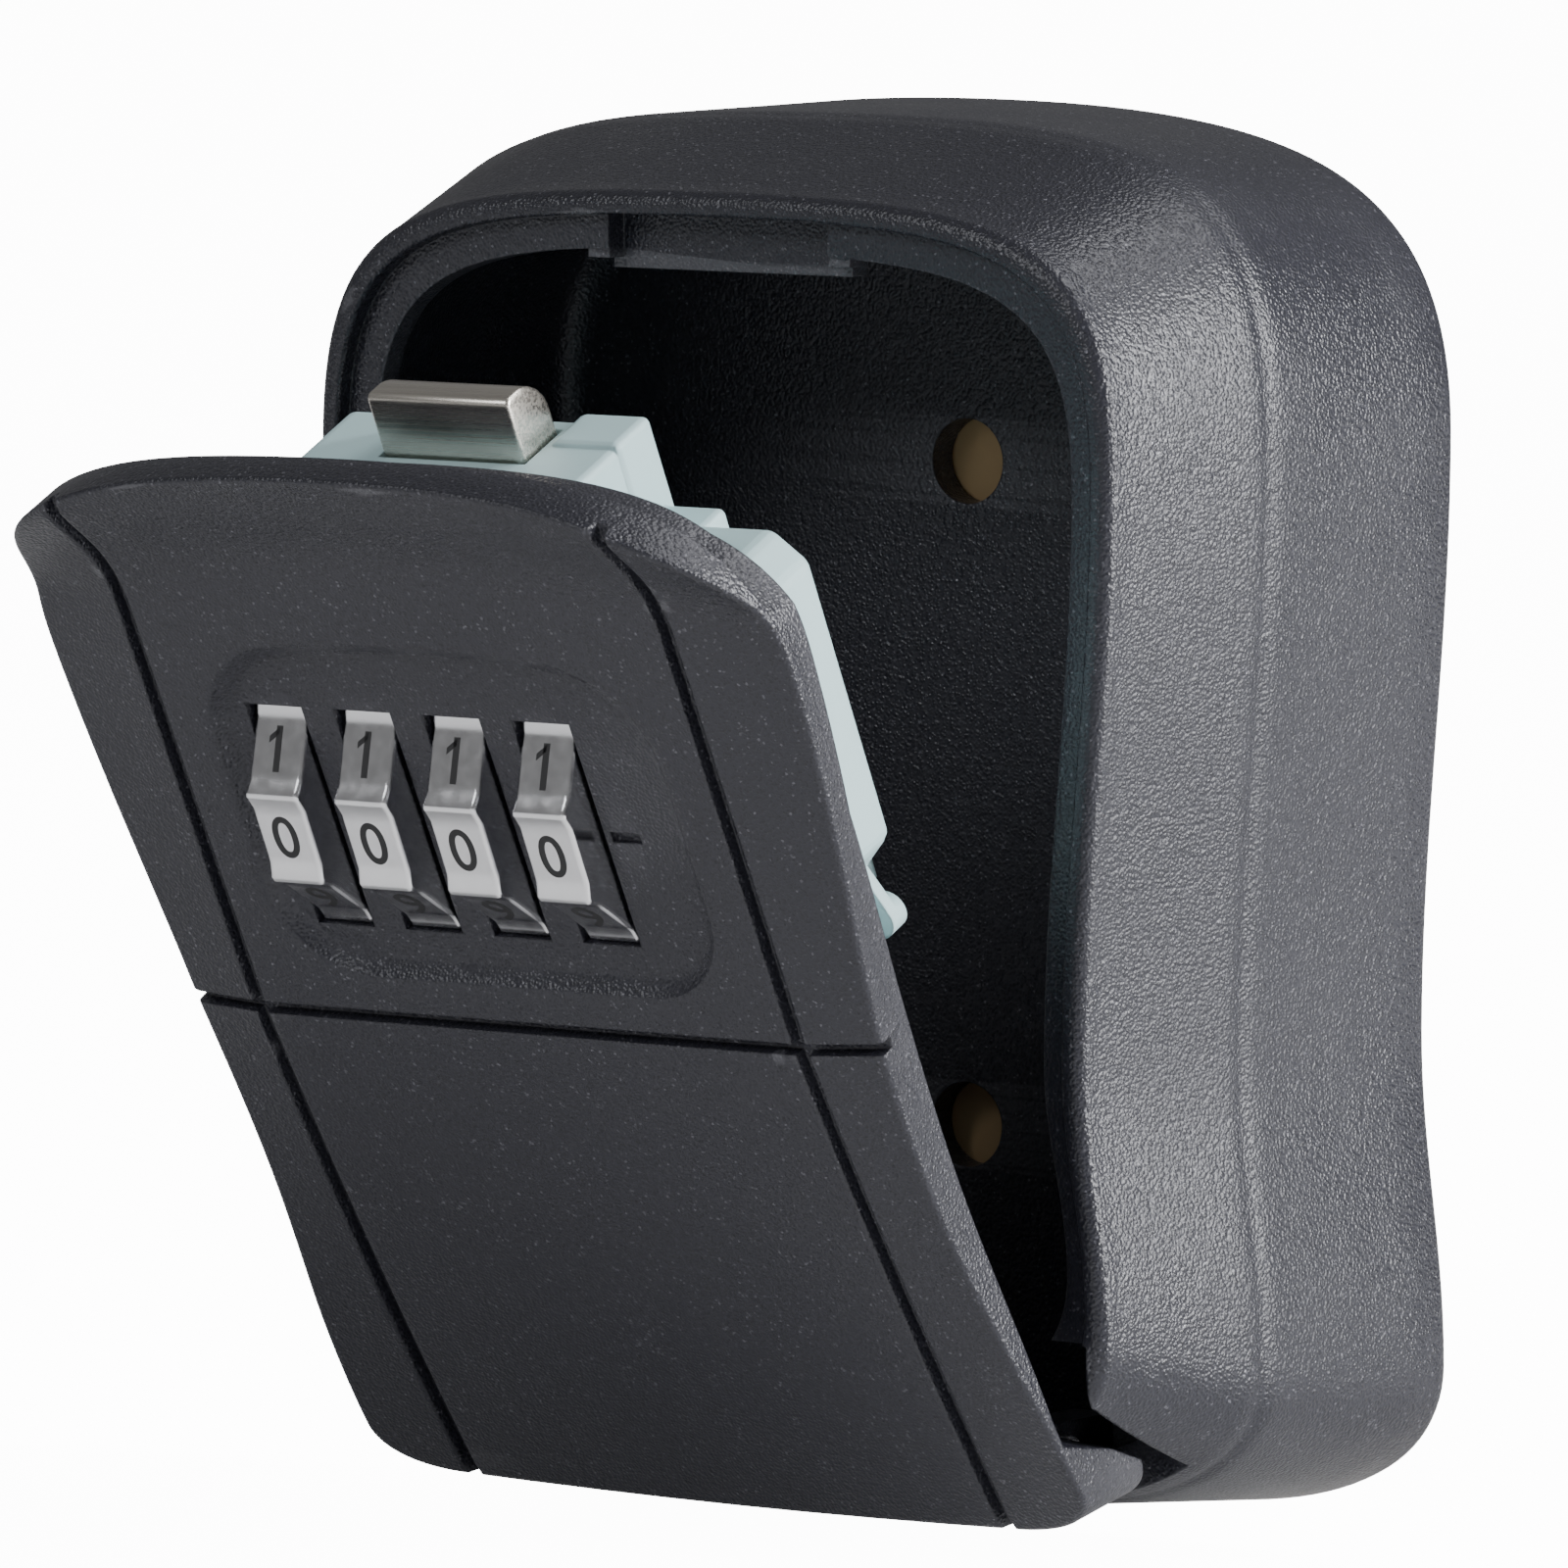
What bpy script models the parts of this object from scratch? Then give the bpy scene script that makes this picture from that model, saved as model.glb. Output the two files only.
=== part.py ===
"""Key lock box: a die-cast wall box whose door drops open on a pin along its bottom edge.

The door carries four number dials, a sprung latch bolt at its top and a plastic cover over
the works. Every size below is in millimetres or degrees, and make() turns them to metres.
X runs across the box, Y from front to back with the wall at Y = 0, and Z up. The pieces of
the door are modelled with the door shut; door_pivot then turns them to the open rest pose.
"""

import math

import bmesh
import bpy
from mathutils import Matrix, Vector

MM = 0.001
GAP = 0.3  # left between pieces that touch
RUN = 0.6  # left round pieces that move
ROUND_SIDES = 24
ROUND_STEPS = 3  # rings in a rounded edge
SLIVER = 0.002

# Case
CASE_WIDTH = 95.0
CASE_HEIGHT = 120.0
CASE_DEPTH = 43.0  # from the wall to the rim
WAIST_IN = 2.7  # how far each side draws in at the waist
FOOT_IN = 0.3  # the same at the foot
SHOULDER_Z = 33.0
WAIST_Z = -18.0
CASE_CORNER = 13.0  # height of the rounding at each bottom corner
WALL = 3.0
CREASE_BACK = 18.0  # from the rim back to the crease
CREASE_IN = 2.3  # draft of the sides from the wall to the crease
CREASE_TOP_IN = 0.4  # the same at the top
RIM_IN = 6.2  # the rim's outer edge, in from the largest outline
RIM_ROUND = 1.4
RIM_LAND = 0.8
REBATE_DEPTH = 1.7
LEDGE_WIDTH = 2.9
LEDGE_THICK = 2.4
BACK_WALL = 3.0
PAD_RECESS = 1.6
PAD_BORDER = 4.0
SCREW_HOLE_R = 3.7
SCREW_HOLE_Z = 28.8

# Door, hinge and stop
DOOR_OPEN = 26.0
HINGE_BEHIND_RIM = 6.7
HINGE_Z = -52.0
DOOR_CLEAR = 0.6
DOOR_BOTTOM = -56.0
DOOR_CORNER = 4.5
DOOR_BOW = 1.0  # the bottom edge bows down this far in the middle
DOOR_WAIST = 0.7  # its sides draw in this much more than the case
DOOR_WALL = 1.8
PANEL_WALL = 3.6  # thickness of the upper face
FACE_RISE = 5.7  # the face stands this far in front of the rim at its cross groove
FACE_LEAN = 0.028  # forward for each mm above the cross groove
LOWER_SLOPE = 0.11  # back for each mm below it
LOWER_CURVE = 0.0008
LIP_FLARE = 4.9
LIP_DIP = 0.6  # less than that at the middle of the top
LIP_BAND = 12.5
LIP_FADE_LOW = 35.0
LIP_FADE_HIGH = 47.0
STRIP_DROP = 1.25  # the strips beside the long grooves slope back this far
STRIP_FOOT = -38.0
EDGE_ROUND = 0.6
BAND_BACK = -0.4  # rear edge of the side band, from the rim, at the cross groove
BAND_LEAN = 0.081
BAND_CURVE = 0.00102
SPIGOT_EDGE = 3.4  # the wall that enters the rim, in from the door's edge
SPIGOT_TOP_IN = 2.4  # and this much further in at the top
SPIGOT_EASE = 34.0
SPIGOT_DEEP = 1.8
GROOVE_X = 28.0
GROOVE_Z = -4.5
GROOVE_WIDTH = 1.5
GROOVE_DEPTH = 0.9
PIN_R = 1.25
LUG_R = 2.5
LUG_WIDE = 4.0
CASE_LUG_X = 25.0
SKIRT_BACK = 3.5  # how far the door's skirt runs behind the pin
SKIRT_DROP = 2.0
CHEEK_TOP = -46.0  # below this the side walls run back to the skirt
CHEEK_TALL = 5.0
CLIP_R = 2.3
CLIP_THICK = 0.8

# Dials and their windows
DIAL_COUNT = 4
DIGITS = 10
DIAL_PITCH = 9.2
DIAL_OFFSET = -3.0
DIAL_Z = 14.5
DIAL_SINK = 8.6  # axle behind the panel
DIAL_FLAT = 12.2
DIAL_RIDGE = 13.2
DIAL_WIDE = 5.4
RIDGE_HALF = 5.8  # degrees, at the foot of each ridge between two digits
RIDGE_TOP_HALF = 0.9
WINDOW_CLEAR = 0.55  # wider than the dial by this
WINDOW_TALL = 21.6
PANEL_HALF = 22.5
PANEL_Z = 15.5
PANEL_TALL = 31.0
PANEL_CORNER = 8.0
PANEL_DEEP = 1.4
PANEL_ARCH = 2.2  # its top edge arches this far
SLEEVE_R = 4.9
AXLE_R = 1.5
CODE_DISC_R = 5.6
CODE_DISC_THICK = 1.5

# Works behind the dials
FRAME_BAR = 2.2
FRAME_DEEP = 8.0
BOLT_WIDE = 14.5
BOLT_THICK = 5.2
BOLT_BEHIND_RIM = 6.5
BOLT_TOP = 48.7
BOLT_OUT = 5.7
STRIKE_HOLD = 1.9  # how far the bolt reaches up behind the strike
POCKET_WIDE = 22.8
TAB_WIDE = 2.2
TAB_DROP = 1.0
LATCH_TRAVEL = 3.0
COVER_WALL = 1.6
COVER_SIDE = 9.2  # its side plates stand this far behind the rim
COVER_BACK = 13.7  # and its tall part this far
COVER_BOTTOM = -3.5
COVER_DEEP_TOP = 29.0  # the part round the dials ends here
COVER_CHAMFER = 9.2
COVER_STEP_X = 14.7  # right end of the tall part
COVER_STEP_Z = 35.5
PLATE_X = 31.5
PLATE_FOOT_X = 26.8
PLATE_LOW = 7.8
PLATE_TOP = 36.5
PLATE_CORNER = 2.8
RAISED_X = 8.0
RAISED_Z = 20.0
RAISED_BY = 0.8
SPRING_R = 1.9
SPRING_WIRE = 0.35
SPRING_TURNS = 5
COVER_SCREWS = ((-27.8, 12.0), (26.0, 18.0), (-27.6, 29.0), (25.5, 30.0))
SCREW_R = 0.9
SCREW_HEAD_R = 2.1
BOSS_R = 2.1
LEVER_Z = 4.4
LEVER_CLEAR = 0.4  # from its hub to the side of the cover's deep part
LEVER_REACH = (3.3, -5.7)  # from hub to tip
LEVER_HUB_R = 2.6
LEVER_TIP_R = 1.7
LEVER_THICK = 1.4
STUD_R = 1.2
STUD_LONG = 4.4
DETENT_THICK = 0.5
NOSE_R = 3.5
SLIDE_RIGHT = 10.0
SLIDE_CHAMFER = 5.4
HOOK_R = 1.0
HOOK_AT = (2.0, 27.0)

# Places that follow from the sizes above
RIM_Y = -CASE_DEPTH
HINGE_Y = RIM_Y + HINGE_BEHIND_RIM
WINDOW_WIDE = DIAL_WIDE + WINDOW_CLEAR
CREASE_Y = RIM_Y + CREASE_BACK
REBATE_IN = RIM_IN + RIM_ROUND + RIM_LAND
REBATE_Y = RIM_Y + REBATE_DEPTH
LEDGE_IN = REBATE_IN + LEDGE_WIDTH
LEDGE_BACK_Y = REBATE_Y + LEDGE_THICK
FLOOR_Y = -PAD_RECESS - BACK_WALL
DOOR_IN = REBATE_IN + DOOR_CLEAR
FACE_Y = RIM_Y - FACE_RISE
SWING_R = math.hypot(SKIRT_BACK, HINGE_Z - DOOR_BOTTOM + SKIRT_DROP + DOOR_BOW) + RUN
FLOOR_FRONT_Y = HINGE_Y + SWING_R
DOOR_LUG_X = CASE_LUG_X + LUG_WIDE + 2 * GAP
PIN_REACH = DOOR_LUG_X + LUG_WIDE / 2 + GAP + CLIP_THICK + GAP
PANEL_Y = FACE_Y - FACE_LEAN * (DIAL_Z - GROOVE_Z) + PANEL_DEEP
AXLE_Y = PANEL_Y + DIAL_SINK
DIALS_X = [DIAL_OFFSET + (n - (DIAL_COUNT - 1) / 2) * DIAL_PITCH for n in range(DIAL_COUNT)]
DISC_START = DIAL_WIDE / 2 + RUN
DISC_END = DISC_START + CODE_DISC_THICK
FRAME_LEFT = DIALS_X[0] - DIAL_WIDE / 2 - RUN
FRAME_RIGHT = DIALS_X[-1] + DISC_END + RUN
FRAME_LOW = DIAL_Z - DIAL_RIDGE - RUN
FRAME_HIGH = DIAL_Z + DIAL_RIDGE + RUN
BOLT_FRONT_Y = RIM_Y + BOLT_BEHIND_RIM
BOLT_BACK_Y = BOLT_FRONT_Y + BOLT_THICK
COVER_TOP = BOLT_TOP - BOLT_OUT
COVER_LOW_Y = RIM_Y + COVER_SIDE
COVER_TALL_Y = RIM_Y + COVER_BACK
COVER_DEEP_Y = AXLE_Y + DIAL_RIDGE + RUN + COVER_WALL
BOX_LEFT = FRAME_LEFT - FRAME_BAR - RUN - COVER_WALL
BOX_RIGHT = FRAME_RIGHT + FRAME_BAR + RUN + COVER_WALL
LEVER_AT = (BOX_RIGHT + LEVER_HUB_R + LEVER_CLEAR, LEVER_Z)
LEVER_TIP = (LEVER_AT[0] + LEVER_REACH[0], LEVER_Z + LEVER_REACH[1])
SLIDE_TOP = BOLT_TOP - BOLT_OUT - LATCH_TRAVEL - GAP
SLIDE_BOTTOM = FRAME_HIGH + LATCH_TRAVEL
SLIDE_FRONT_Y = BOLT_FRONT_Y + GAP
SLIDE_BACK_Y = SLIDE_FRONT_Y + 2.8
EAR_THICK = 1.5
SPRINGS_X = (-11.5, 6.0)
SPRING_Y = SLIDE_FRONT_Y - 4.8
SPRING_LOW = FRAME_HIGH + FRAME_BAR + GAP
SPRING_HIGH = SLIDE_TOP - EAR_THICK - GAP
WORKS_Y = FACE_Y - FACE_LEAN * 4.0 + PANEL_WALL + GAP  # front of the cover and the dial carrier


def clear_scene():
    for obj in list(bpy.data.objects):
        bpy.data.objects.remove(obj)


def finish(name, colour, roughness, metallic=0.0):
    material = bpy.data.materials.new(name)
    material.use_nodes = True
    shader = material.node_tree.nodes["Principled BSDF"]
    shader.inputs["Base Color"].default_value = (*colour, 1.0)
    shader.inputs["Roughness"].default_value = roughness
    shader.inputs["Metallic"].default_value = metallic
    return material


def place(name, bm, material, pivot=None, origin=(0.0, 0.0, 0.0)):
    """One named object from millimetre geometry, with its origin where its joint is."""
    bmesh.ops.remove_doubles(bm, verts=bm.verts, dist=0.0001)
    bmesh.ops.recalc_face_normals(bm, faces=bm.faces)
    bm.transform(Matrix.Scale(MM, 4) @ Matrix.Translation(-Vector(origin)))
    mesh = bpy.data.meshes.new(name)
    bm.to_mesh(mesh)
    bm.free()
    mesh.materials.append(material)
    obj = bpy.data.objects.new(name, mesh)
    obj.location = Vector(origin) * MM
    bpy.context.collection.objects.link(obj)
    if pivot:
        obj.parent = pivot
        obj.matrix_parent_inverse = Matrix.Translation(-pivot.location)
    bpy.context.view_layer.update()
    return obj


def bake(obj):
    """Applies every modifier, and clears the slivers that a cut can leave."""
    graph = bpy.context.evaluated_depsgraph_get()
    mesh = bpy.data.meshes.new_from_object(obj.evaluated_get(graph))
    obj.modifiers.clear()
    bm = bmesh.new()
    bm.from_mesh(mesh)
    bmesh.ops.triangulate(bm, faces=bm.faces)
    bmesh.ops.remove_doubles(bm, verts=bm.verts, dist=SLIVER * MM)
    bmesh.ops.dissolve_degenerate(bm, edges=bm.edges, dist=SLIVER * MM)
    bm.to_mesh(mesh)
    bm.free()
    obj.data = mesh


def combine(target, operation, *shapes):
    """Cuts each shape from the target, or joins it on."""
    for shape in shapes:
        tool = place("tool", shape, target.data.materials[0], target.parent)
        modifier = target.modifiers.new(operation, "BOOLEAN")
        modifier.operation = operation
        modifier.solver = "EXACT"
        modifier.object = tool
        bake(target)
        bpy.data.objects.remove(tool)
    return target


def cut(target, *shapes):
    return combine(target, "DIFFERENCE", *shapes)


def join(target, *shapes):
    return combine(target, "UNION", *shapes)


def soften(obj, width, segments=2):
    """Rounds the sharp edges a little, as casting and moulding leave them."""
    modifier = obj.modifiers.new("edges", "BEVEL")
    modifier.width = width * MM
    modifier.segments = segments
    modifier.limit_method = "ANGLE"
    modifier.angle_limit = math.radians(40)
    bake(obj)
    return obj


def box(low, high):
    bm = bmesh.new()
    bmesh.ops.create_cube(bm, size=1.0)
    size = Vector(high) - Vector(low)
    middle = (Vector(high) + Vector(low)) / 2
    bm.transform(Matrix.Translation(middle) @ Matrix.Diagonal((*size, 1.0)))
    return bm


def prism(points, axis, low, high):
    """A flat outline pulled along one axis; the points hold the other two coordinates."""
    bm = bmesh.new()

    def at(point, along):
        coords = list(point)
        coords.insert("XYZ".index(axis), along)
        return bm.verts.new(coords)

    first = [at(point, low) for point in points]
    last = [at(point, high) for point in points]
    for n in range(len(points)):
        m = (n + 1) % len(points)
        bm.faces.new((first[n], first[m], last[m], last[n]))
    bm.faces.new(first[::-1])
    bm.faces.new(last)
    return bm


def circle(centre, radius, sides=ROUND_SIDES, start=0.0, turn=360.0):
    count = sides if turn == 360.0 else sides + 1
    return [
        (
            centre[0] + radius * math.cos(math.radians(start + turn * n / sides)),
            centre[1] + radius * math.sin(math.radians(start + turn * n / sides)),
        )
        for n in range(count)
    ]


def rod(axis, centre, radius, low, high, sides=ROUND_SIDES):
    return prism(circle(centre, radius, sides), axis, low, high)


def turned(profile, axis, centre, sides=ROUND_SIDES):
    """A closed profile of (radius, place along the axis) turned about the axis."""
    bm = bmesh.new()
    loops = []
    for radius, along in profile:
        loop = []
        for point in circle(centre, radius, sides):
            coords = list(point)
            coords.insert("XYZ".index(axis), along)
            loop.append(bm.verts.new(coords))
        loops.append(loop)
    for a, b in zip(loops, loops[1:] + loops[:1]):
        for n in range(sides):
            m = (n + 1) % sides
            bm.faces.new((a[n], a[m], b[m], b[n]))
    return bm


def washer(inner, outer, axis, centre, low, high):
    return turned([(outer, low), (outer, high), (inner, high), (inner, low)], axis, centre)


def wire(path, radius, sides=8):
    """A round wire along a path."""
    path = [Vector(point) for point in path]
    rings = []
    side = None
    for n, point in enumerate(path):
        along = (path[min(n + 1, len(path) - 1)] - path[max(n - 1, 0)]).normalized()
        if side is None:
            side = along.orthogonal().normalized()
        side = (side - along * side.dot(along)).normalized()
        up = along.cross(side)
        turns = [2 * math.pi * k / sides for k in range(sides)]
        rings.append([point + radius * (side * math.cos(t) + up * math.sin(t)) for t in turns])
    return loft(rings)


def coil(axis, centre, radius, low, high, turns, steps=14):
    """The path of a coil spring."""
    path = []
    for n in range(turns * steps + 1):
        turn = 2 * math.pi * n / steps
        coords = [centre[0] + radius * math.cos(turn), centre[1] + radius * math.sin(turn)]
        coords.insert("XYZ".index(axis), low + (high - low) * n / (turns * steps))
        path.append(coords)
    return path


def strip(path, thick):
    """The outline of a bent flat strip from its centre line."""
    path = [Vector(point) for point in path]
    left = []
    right = []
    for n, point in enumerate(path):
        before = (point - path[n - 1]).normalized() if n else None
        after = (path[n + 1] - point).normalized() if n + 1 < len(path) else before
        before = before or after
        along = (before + after).normalized()
        normal = Vector((-along.y, along.x)) * thick / 2 / along.dot(after)
        left.append(point + normal)
        right.append(point - normal)
    return [tuple(point) for point in left + right[::-1]]


def loft(rings):
    """A closed skin through rings of equal length, with a flat face on each end."""
    bm = bmesh.new()
    loops = [[bm.verts.new(point) for point in ring] for ring in rings]
    for a, b in zip(loops, loops[1:]):
        for n in range(len(a)):
            m = (n + 1) % len(a)
            bm.faces.new((a[n], a[m], b[m], b[n]))
    bm.faces.new(loops[0][::-1])
    bm.faces.new(loops[-1])
    bmesh.ops.triangulate(bm, faces=bm.faces)
    return bm


def bezier(points, steps):
    """Points along a cubic curve, without its first one."""
    a, b, c, d = (Vector(point) for point in points)
    found = []
    for n in range(1, steps + 1):
        t = n / steps
        s = 1 - t
        found.append(a * s**3 + b * 3 * s * s * t + c * 3 * s * t * t + d * t**3)
    return found


def outline(inset, top_in=None, full=1.0, bottom=None, corner=CASE_CORNER):
    """The box's arched and waisted outline, drawn in by inset, from the top centre clockwise."""
    top = CASE_HEIGHT / 2 - (inset if top_in is None else top_in)
    bottom = inset - CASE_HEIGHT / 2 if bottom is None else bottom
    wide = CASE_WIDTH / 2 - inset
    waist = wide - WAIST_IN
    foot = wide - FOOT_IN
    shoulder_z = SHOULDER_Z - 0.3 * inset
    foot_z = bottom + corner
    upper = 0.36 * (shoulder_z - WAIST_Z)
    lower = 0.36 * (WAIST_Z - foot_z)
    crown = shoulder_z + (0.775 + 0.125 * full) * (top - shoulder_z)
    reach = (0.715 + 0.05 * full) * wide
    half = [Vector((0.0, top))]
    half += bezier(((0, top), (reach, top), (wide, crown), (wide, shoulder_z)), 12)
    half += bezier(((wide, shoulder_z), (wide, shoulder_z - upper), (waist, WAIST_Z + upper), (waist, WAIST_Z)), 6)
    half += bezier(((waist, WAIST_Z), (waist, WAIST_Z - lower), (foot, foot_z + lower), (foot, foot_z)), 5)
    turn = foot - 1.9 * corner
    half += bezier(((foot, foot_z), (foot, bottom + 0.38 * corner), (foot - 0.7 * corner, bottom), (turn, bottom)), 7)
    half += [Vector((turn * share, bottom)) for share in (0.66, 0.33, 0.0)]
    return [(x, z) for x, z in half] + [(-x, z) for x, z in half[-2:0:-1]]


def case_ring(y, inset, top_in=None):
    return [(x, y, z) for x, z in outline(inset, top_in, min(1.0, y / CREASE_Y))]


def draft(y, at_crease):
    """How far the outer wall is drawn in at this depth."""
    if y > CREASE_Y:
        return at_crease * y / CREASE_Y
    front = RIM_Y + RIM_ROUND
    return at_crease + (RIM_IN - at_crease) * (CREASE_Y - y) / (CREASE_Y - front)


def build_case(material):
    def outside(y, extra=0.0):
        return y, draft(y, CREASE_IN) + extra, draft(y, CREASE_TOP_IN) + extra

    rings = [(-PAD_RECESS, PAD_BORDER, PAD_BORDER), (0.0, PAD_BORDER, PAD_BORDER), (0.0, 1.2, 1.2), (-0.5, 0.4, 0.3)]
    rings += [outside(-1.6), outside(CREASE_Y + 1.6), outside(CREASE_Y, 0.15), outside(CREASE_Y - 1.6)]
    for n in range(ROUND_STEPS + 1):
        turn = math.radians(90 * n / ROUND_STEPS)
        inset = RIM_IN + RIM_ROUND * (1 - math.cos(turn))
        rings.append((RIM_Y + RIM_ROUND * (1 - math.sin(turn)), inset, inset))
    for y, inset in ((RIM_Y, REBATE_IN), (REBATE_Y, REBATE_IN), (REBATE_Y, LEDGE_IN), (LEDGE_BACK_Y, LEDGE_IN)):
        rings.append((y, inset, inset))
    rings += [outside(LEDGE_BACK_Y, WALL), outside(CREASE_Y, WALL)]
    for y, inset in ((FLOOR_Y - 2.5, WALL + 1.2), (FLOOR_Y - 0.7, WALL + 2.0), (FLOOR_Y, WALL + 3.8)):
        rings.append((y, inset, inset))
    case = place("housing", loft([case_ring(*ring) for ring in rings]), material)
    door_half = CASE_WIDTH / 2 - DOOR_IN + DOOR_CLEAR
    mouth = box((-door_half, RIM_Y - 5, -CASE_HEIGHT), (door_half, FLOOR_FRONT_Y, HINGE_Z + SWING_R * 1.3))
    pocket = box((-POCKET_WIDE / 2, RIM_Y - 1, 0), (POCKET_WIDE / 2, LEDGE_BACK_Y + 0.5, CASE_HEIGHT / 2 - REBATE_IN))
    holes = [rod("Y", (0, z), SCREW_HOLE_R, FLOOR_Y - 2, 1.0) for z in (-SCREW_HOLE_Z, SCREW_HOLE_Z)]
    for side in (-1, 1):
        ends = sorted((side * (POCKET_WIDE / 2 - 0.5), side * (POCKET_WIDE / 2 + TAB_WIDE)))
        low = CASE_HEIGHT / 2 - LEDGE_IN - TAB_DROP
        join(case, box((ends[0], REBATE_Y + 0.2, low), (ends[1], LEDGE_BACK_Y - 0.2, low + TAB_DROP + 1.6)))
    cut(case, mouth, pocket, *holes)
    strike_y = LEDGE_BACK_Y - 0.15
    strike_low = BOLT_TOP - STRIKE_HOLD
    half = POCKET_WIDE / 2 + 1
    join(case, box((-half, strike_y, strike_low), (half, BOLT_FRONT_Y - GAP, CASE_HEIGHT / 2 - RIM_IN)))
    root_y = FLOOR_FRONT_Y + 7.0
    low = HINGE_Z - LUG_R + 1.0
    high = HINGE_Z + LUG_R - 0.4
    root = [(HINGE_Y, high), (root_y, high), (root_y, low - 1.5), (FLOOR_FRONT_Y + GAP, low - 1.5)]
    root += [(FLOOR_FRONT_Y + GAP, low), (HINGE_Y, low)]
    for side in (-1, 1):
        ends = (side * CASE_LUG_X - LUG_WIDE / 2, side * CASE_LUG_X + LUG_WIDE / 2)
        join(case, prism(root, "X", *ends), rod("X", (HINGE_Y, HINGE_Z), LUG_R, *ends))
    return cut(case, rod("X", (HINGE_Y, HINGE_Z), PIN_R + GAP, -DOOR_LUG_X, DOOR_LUG_X))


def build_pad(material):
    inset = PAD_BORDER + GAP
    place("backing_pad", loft([case_ring(y, inset) for y in (GAP - PAD_RECESS, 0.0)]), material)


def build_pin(material):
    place("hinge_pin", rod("X", (HINGE_Y, HINGE_Z), PIN_R, -PIN_REACH, PIN_REACH), material)
    start = DOOR_LUG_X + LUG_WIDE / 2 + GAP
    for name, low, high in (
        ("pin_clip_left", -start - CLIP_THICK, -start),
        ("pin_clip_right", start, start + CLIP_THICK),
    ):
        place(name, washer(PIN_R + GAP, CLIP_R, "X", (HINGE_Y, HINGE_Z), low, high), material)


def face_y(z):
    """The door's front face where it is plain, by height."""
    if z >= GROOVE_Z:
        return FACE_Y - FACE_LEAN * (z - GROOVE_Z)
    below = GROOVE_Z - z
    return FACE_Y + LOWER_SLOPE * below + LOWER_CURVE * below * below


def lip(x, z, edge):
    """How far the face stands forward of the plain one: the grip lip, less the fall of the side strips."""
    fade = min(1.0, max(0.0, (z - LIP_FADE_LOW) / (LIP_FADE_HIGH - LIP_FADE_LOW)))
    flare = LIP_FLARE - LIP_DIP * max(0.0, 1 - (x / GROOVE_X) ** 2)
    beyond = min(1.0, max(0.0, (abs(x) - GROOVE_X) / 10.0))
    foot = min(1.0, max(0.0, (z - STRIP_FOOT) / (GROOVE_Z - STRIP_FOOT)))
    return flare * fade * fade * (3 - 2 * fade) * max(0.0, 1 - edge / LIP_BAND) - STRIP_DROP * beyond * foot


def thickness(z):
    share = min(1.0, max(0.0, (z - GROOVE_Z) / 4.0))
    return DOOR_WALL + (PANEL_WALL - DOOR_WALL) * share


def door_outline(edge):
    half = CASE_WIDTH / 2 - DOOR_IN - edge
    points = []
    for x, z in outline(DOOR_IN + edge, None, 0.3, DOOR_BOTTOM + edge, max(DOOR_CORNER - 0.2 * edge, 2.5)):
        low = min(1.0, max(0.0, (CHEEK_TOP - z) / CHEEK_TALL))
        drawn = DOOR_WAIST * min(1.0, max(0.0, (SHOULDER_Z - z) / SHOULDER_Z))
        points.append((x - drawn * x / half, z - DOOR_BOW * low * (1 - (x / half) ** 2)))
    return points


def cheek(z):
    """0 where the side walls are plain, rising to 1 where they run back round the hinge."""
    share = min(1.0, max(0.0, (CHEEK_TOP - z) / CHEEK_TALL))
    return share * share * (3 - 2 * share)


def front_ring(edge, back=0.0):
    return [(x, face_y(z) - lip(x, z, edge) + back, z) for x, z in door_outline(edge)]


def eased(edge, top_edge, cheek_edge):
    """The door outline drawn in by edge at the sides, top_edge at the top, cheek_edge at the cheeks."""
    points = []
    for (x, z), above, below in zip(door_outline(edge), door_outline(top_edge), door_outline(cheek_edge)):
        crown = min(1.0, max(0.0, (z - SPIGOT_EASE) / 8.0))
        thin = min(1.0, 2.2 * cheek(z))
        other, share = (above, crown) if z > 0 else (below, thin)
        points.append((x + (other[0] - x) * share, z + (other[1] - z) * share))
    return points


def back_ring(edge, cheek_edge, behind, top_edge=None):
    """Part of the door's back edge: its place on the plain sides and on the cheeks."""
    ring = []
    for x, z in eased(edge, edge if top_edge is None else top_edge, cheek_edge):
        share = cheek(z)
        plain = behind(z)
        ring.append((x, plain + (HINGE_Y + SKIRT_BACK - plain) * share, z - SKIRT_DROP * share))
    return ring


def band_back(z):
    up = z - GROOVE_Z - 3.5
    return RIM_Y + BAND_BACK - BAND_LEAN * up - BAND_CURVE * up * up


def spigot_back(z):
    return RIM_Y + SPIGOT_DEEP


def inside_ring(edge, cheek_edge, top_edge=None):
    points = eased(edge, edge if top_edge is None else top_edge, cheek_edge)
    return [(x, face_y(z) + thickness(z), z) for x, z in points]


def ladder(bm, loop):
    """Fills a mirrored loop with one face for each pair of rungs, so that it keeps the face's curve."""
    count = len(loop)
    last = count // 2 - 4
    bm.faces.new((loop[0], loop[1], loop[-1]))
    for n in range(1, last):
        bm.faces.new((loop[n], loop[n + 1], loop[count - n - 1], loop[count - n]))
    bm.faces.new(loop[last : count - last + 1])


def door_skin(rings):
    bm = bmesh.new()
    loops = [[bm.verts.new(point) for point in ring] for ring in rings]
    for a, b in zip(loops, loops[1:]):
        for n in range(len(a)):
            m = (n + 1) % len(a)
            bm.faces.new((a[n], a[m], b[m], b[n]))
    ladder(bm, loops[0])
    ladder(bm, loops[-1])
    bmesh.ops.triangulate(bm, faces=bm.faces)
    return bm


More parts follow.
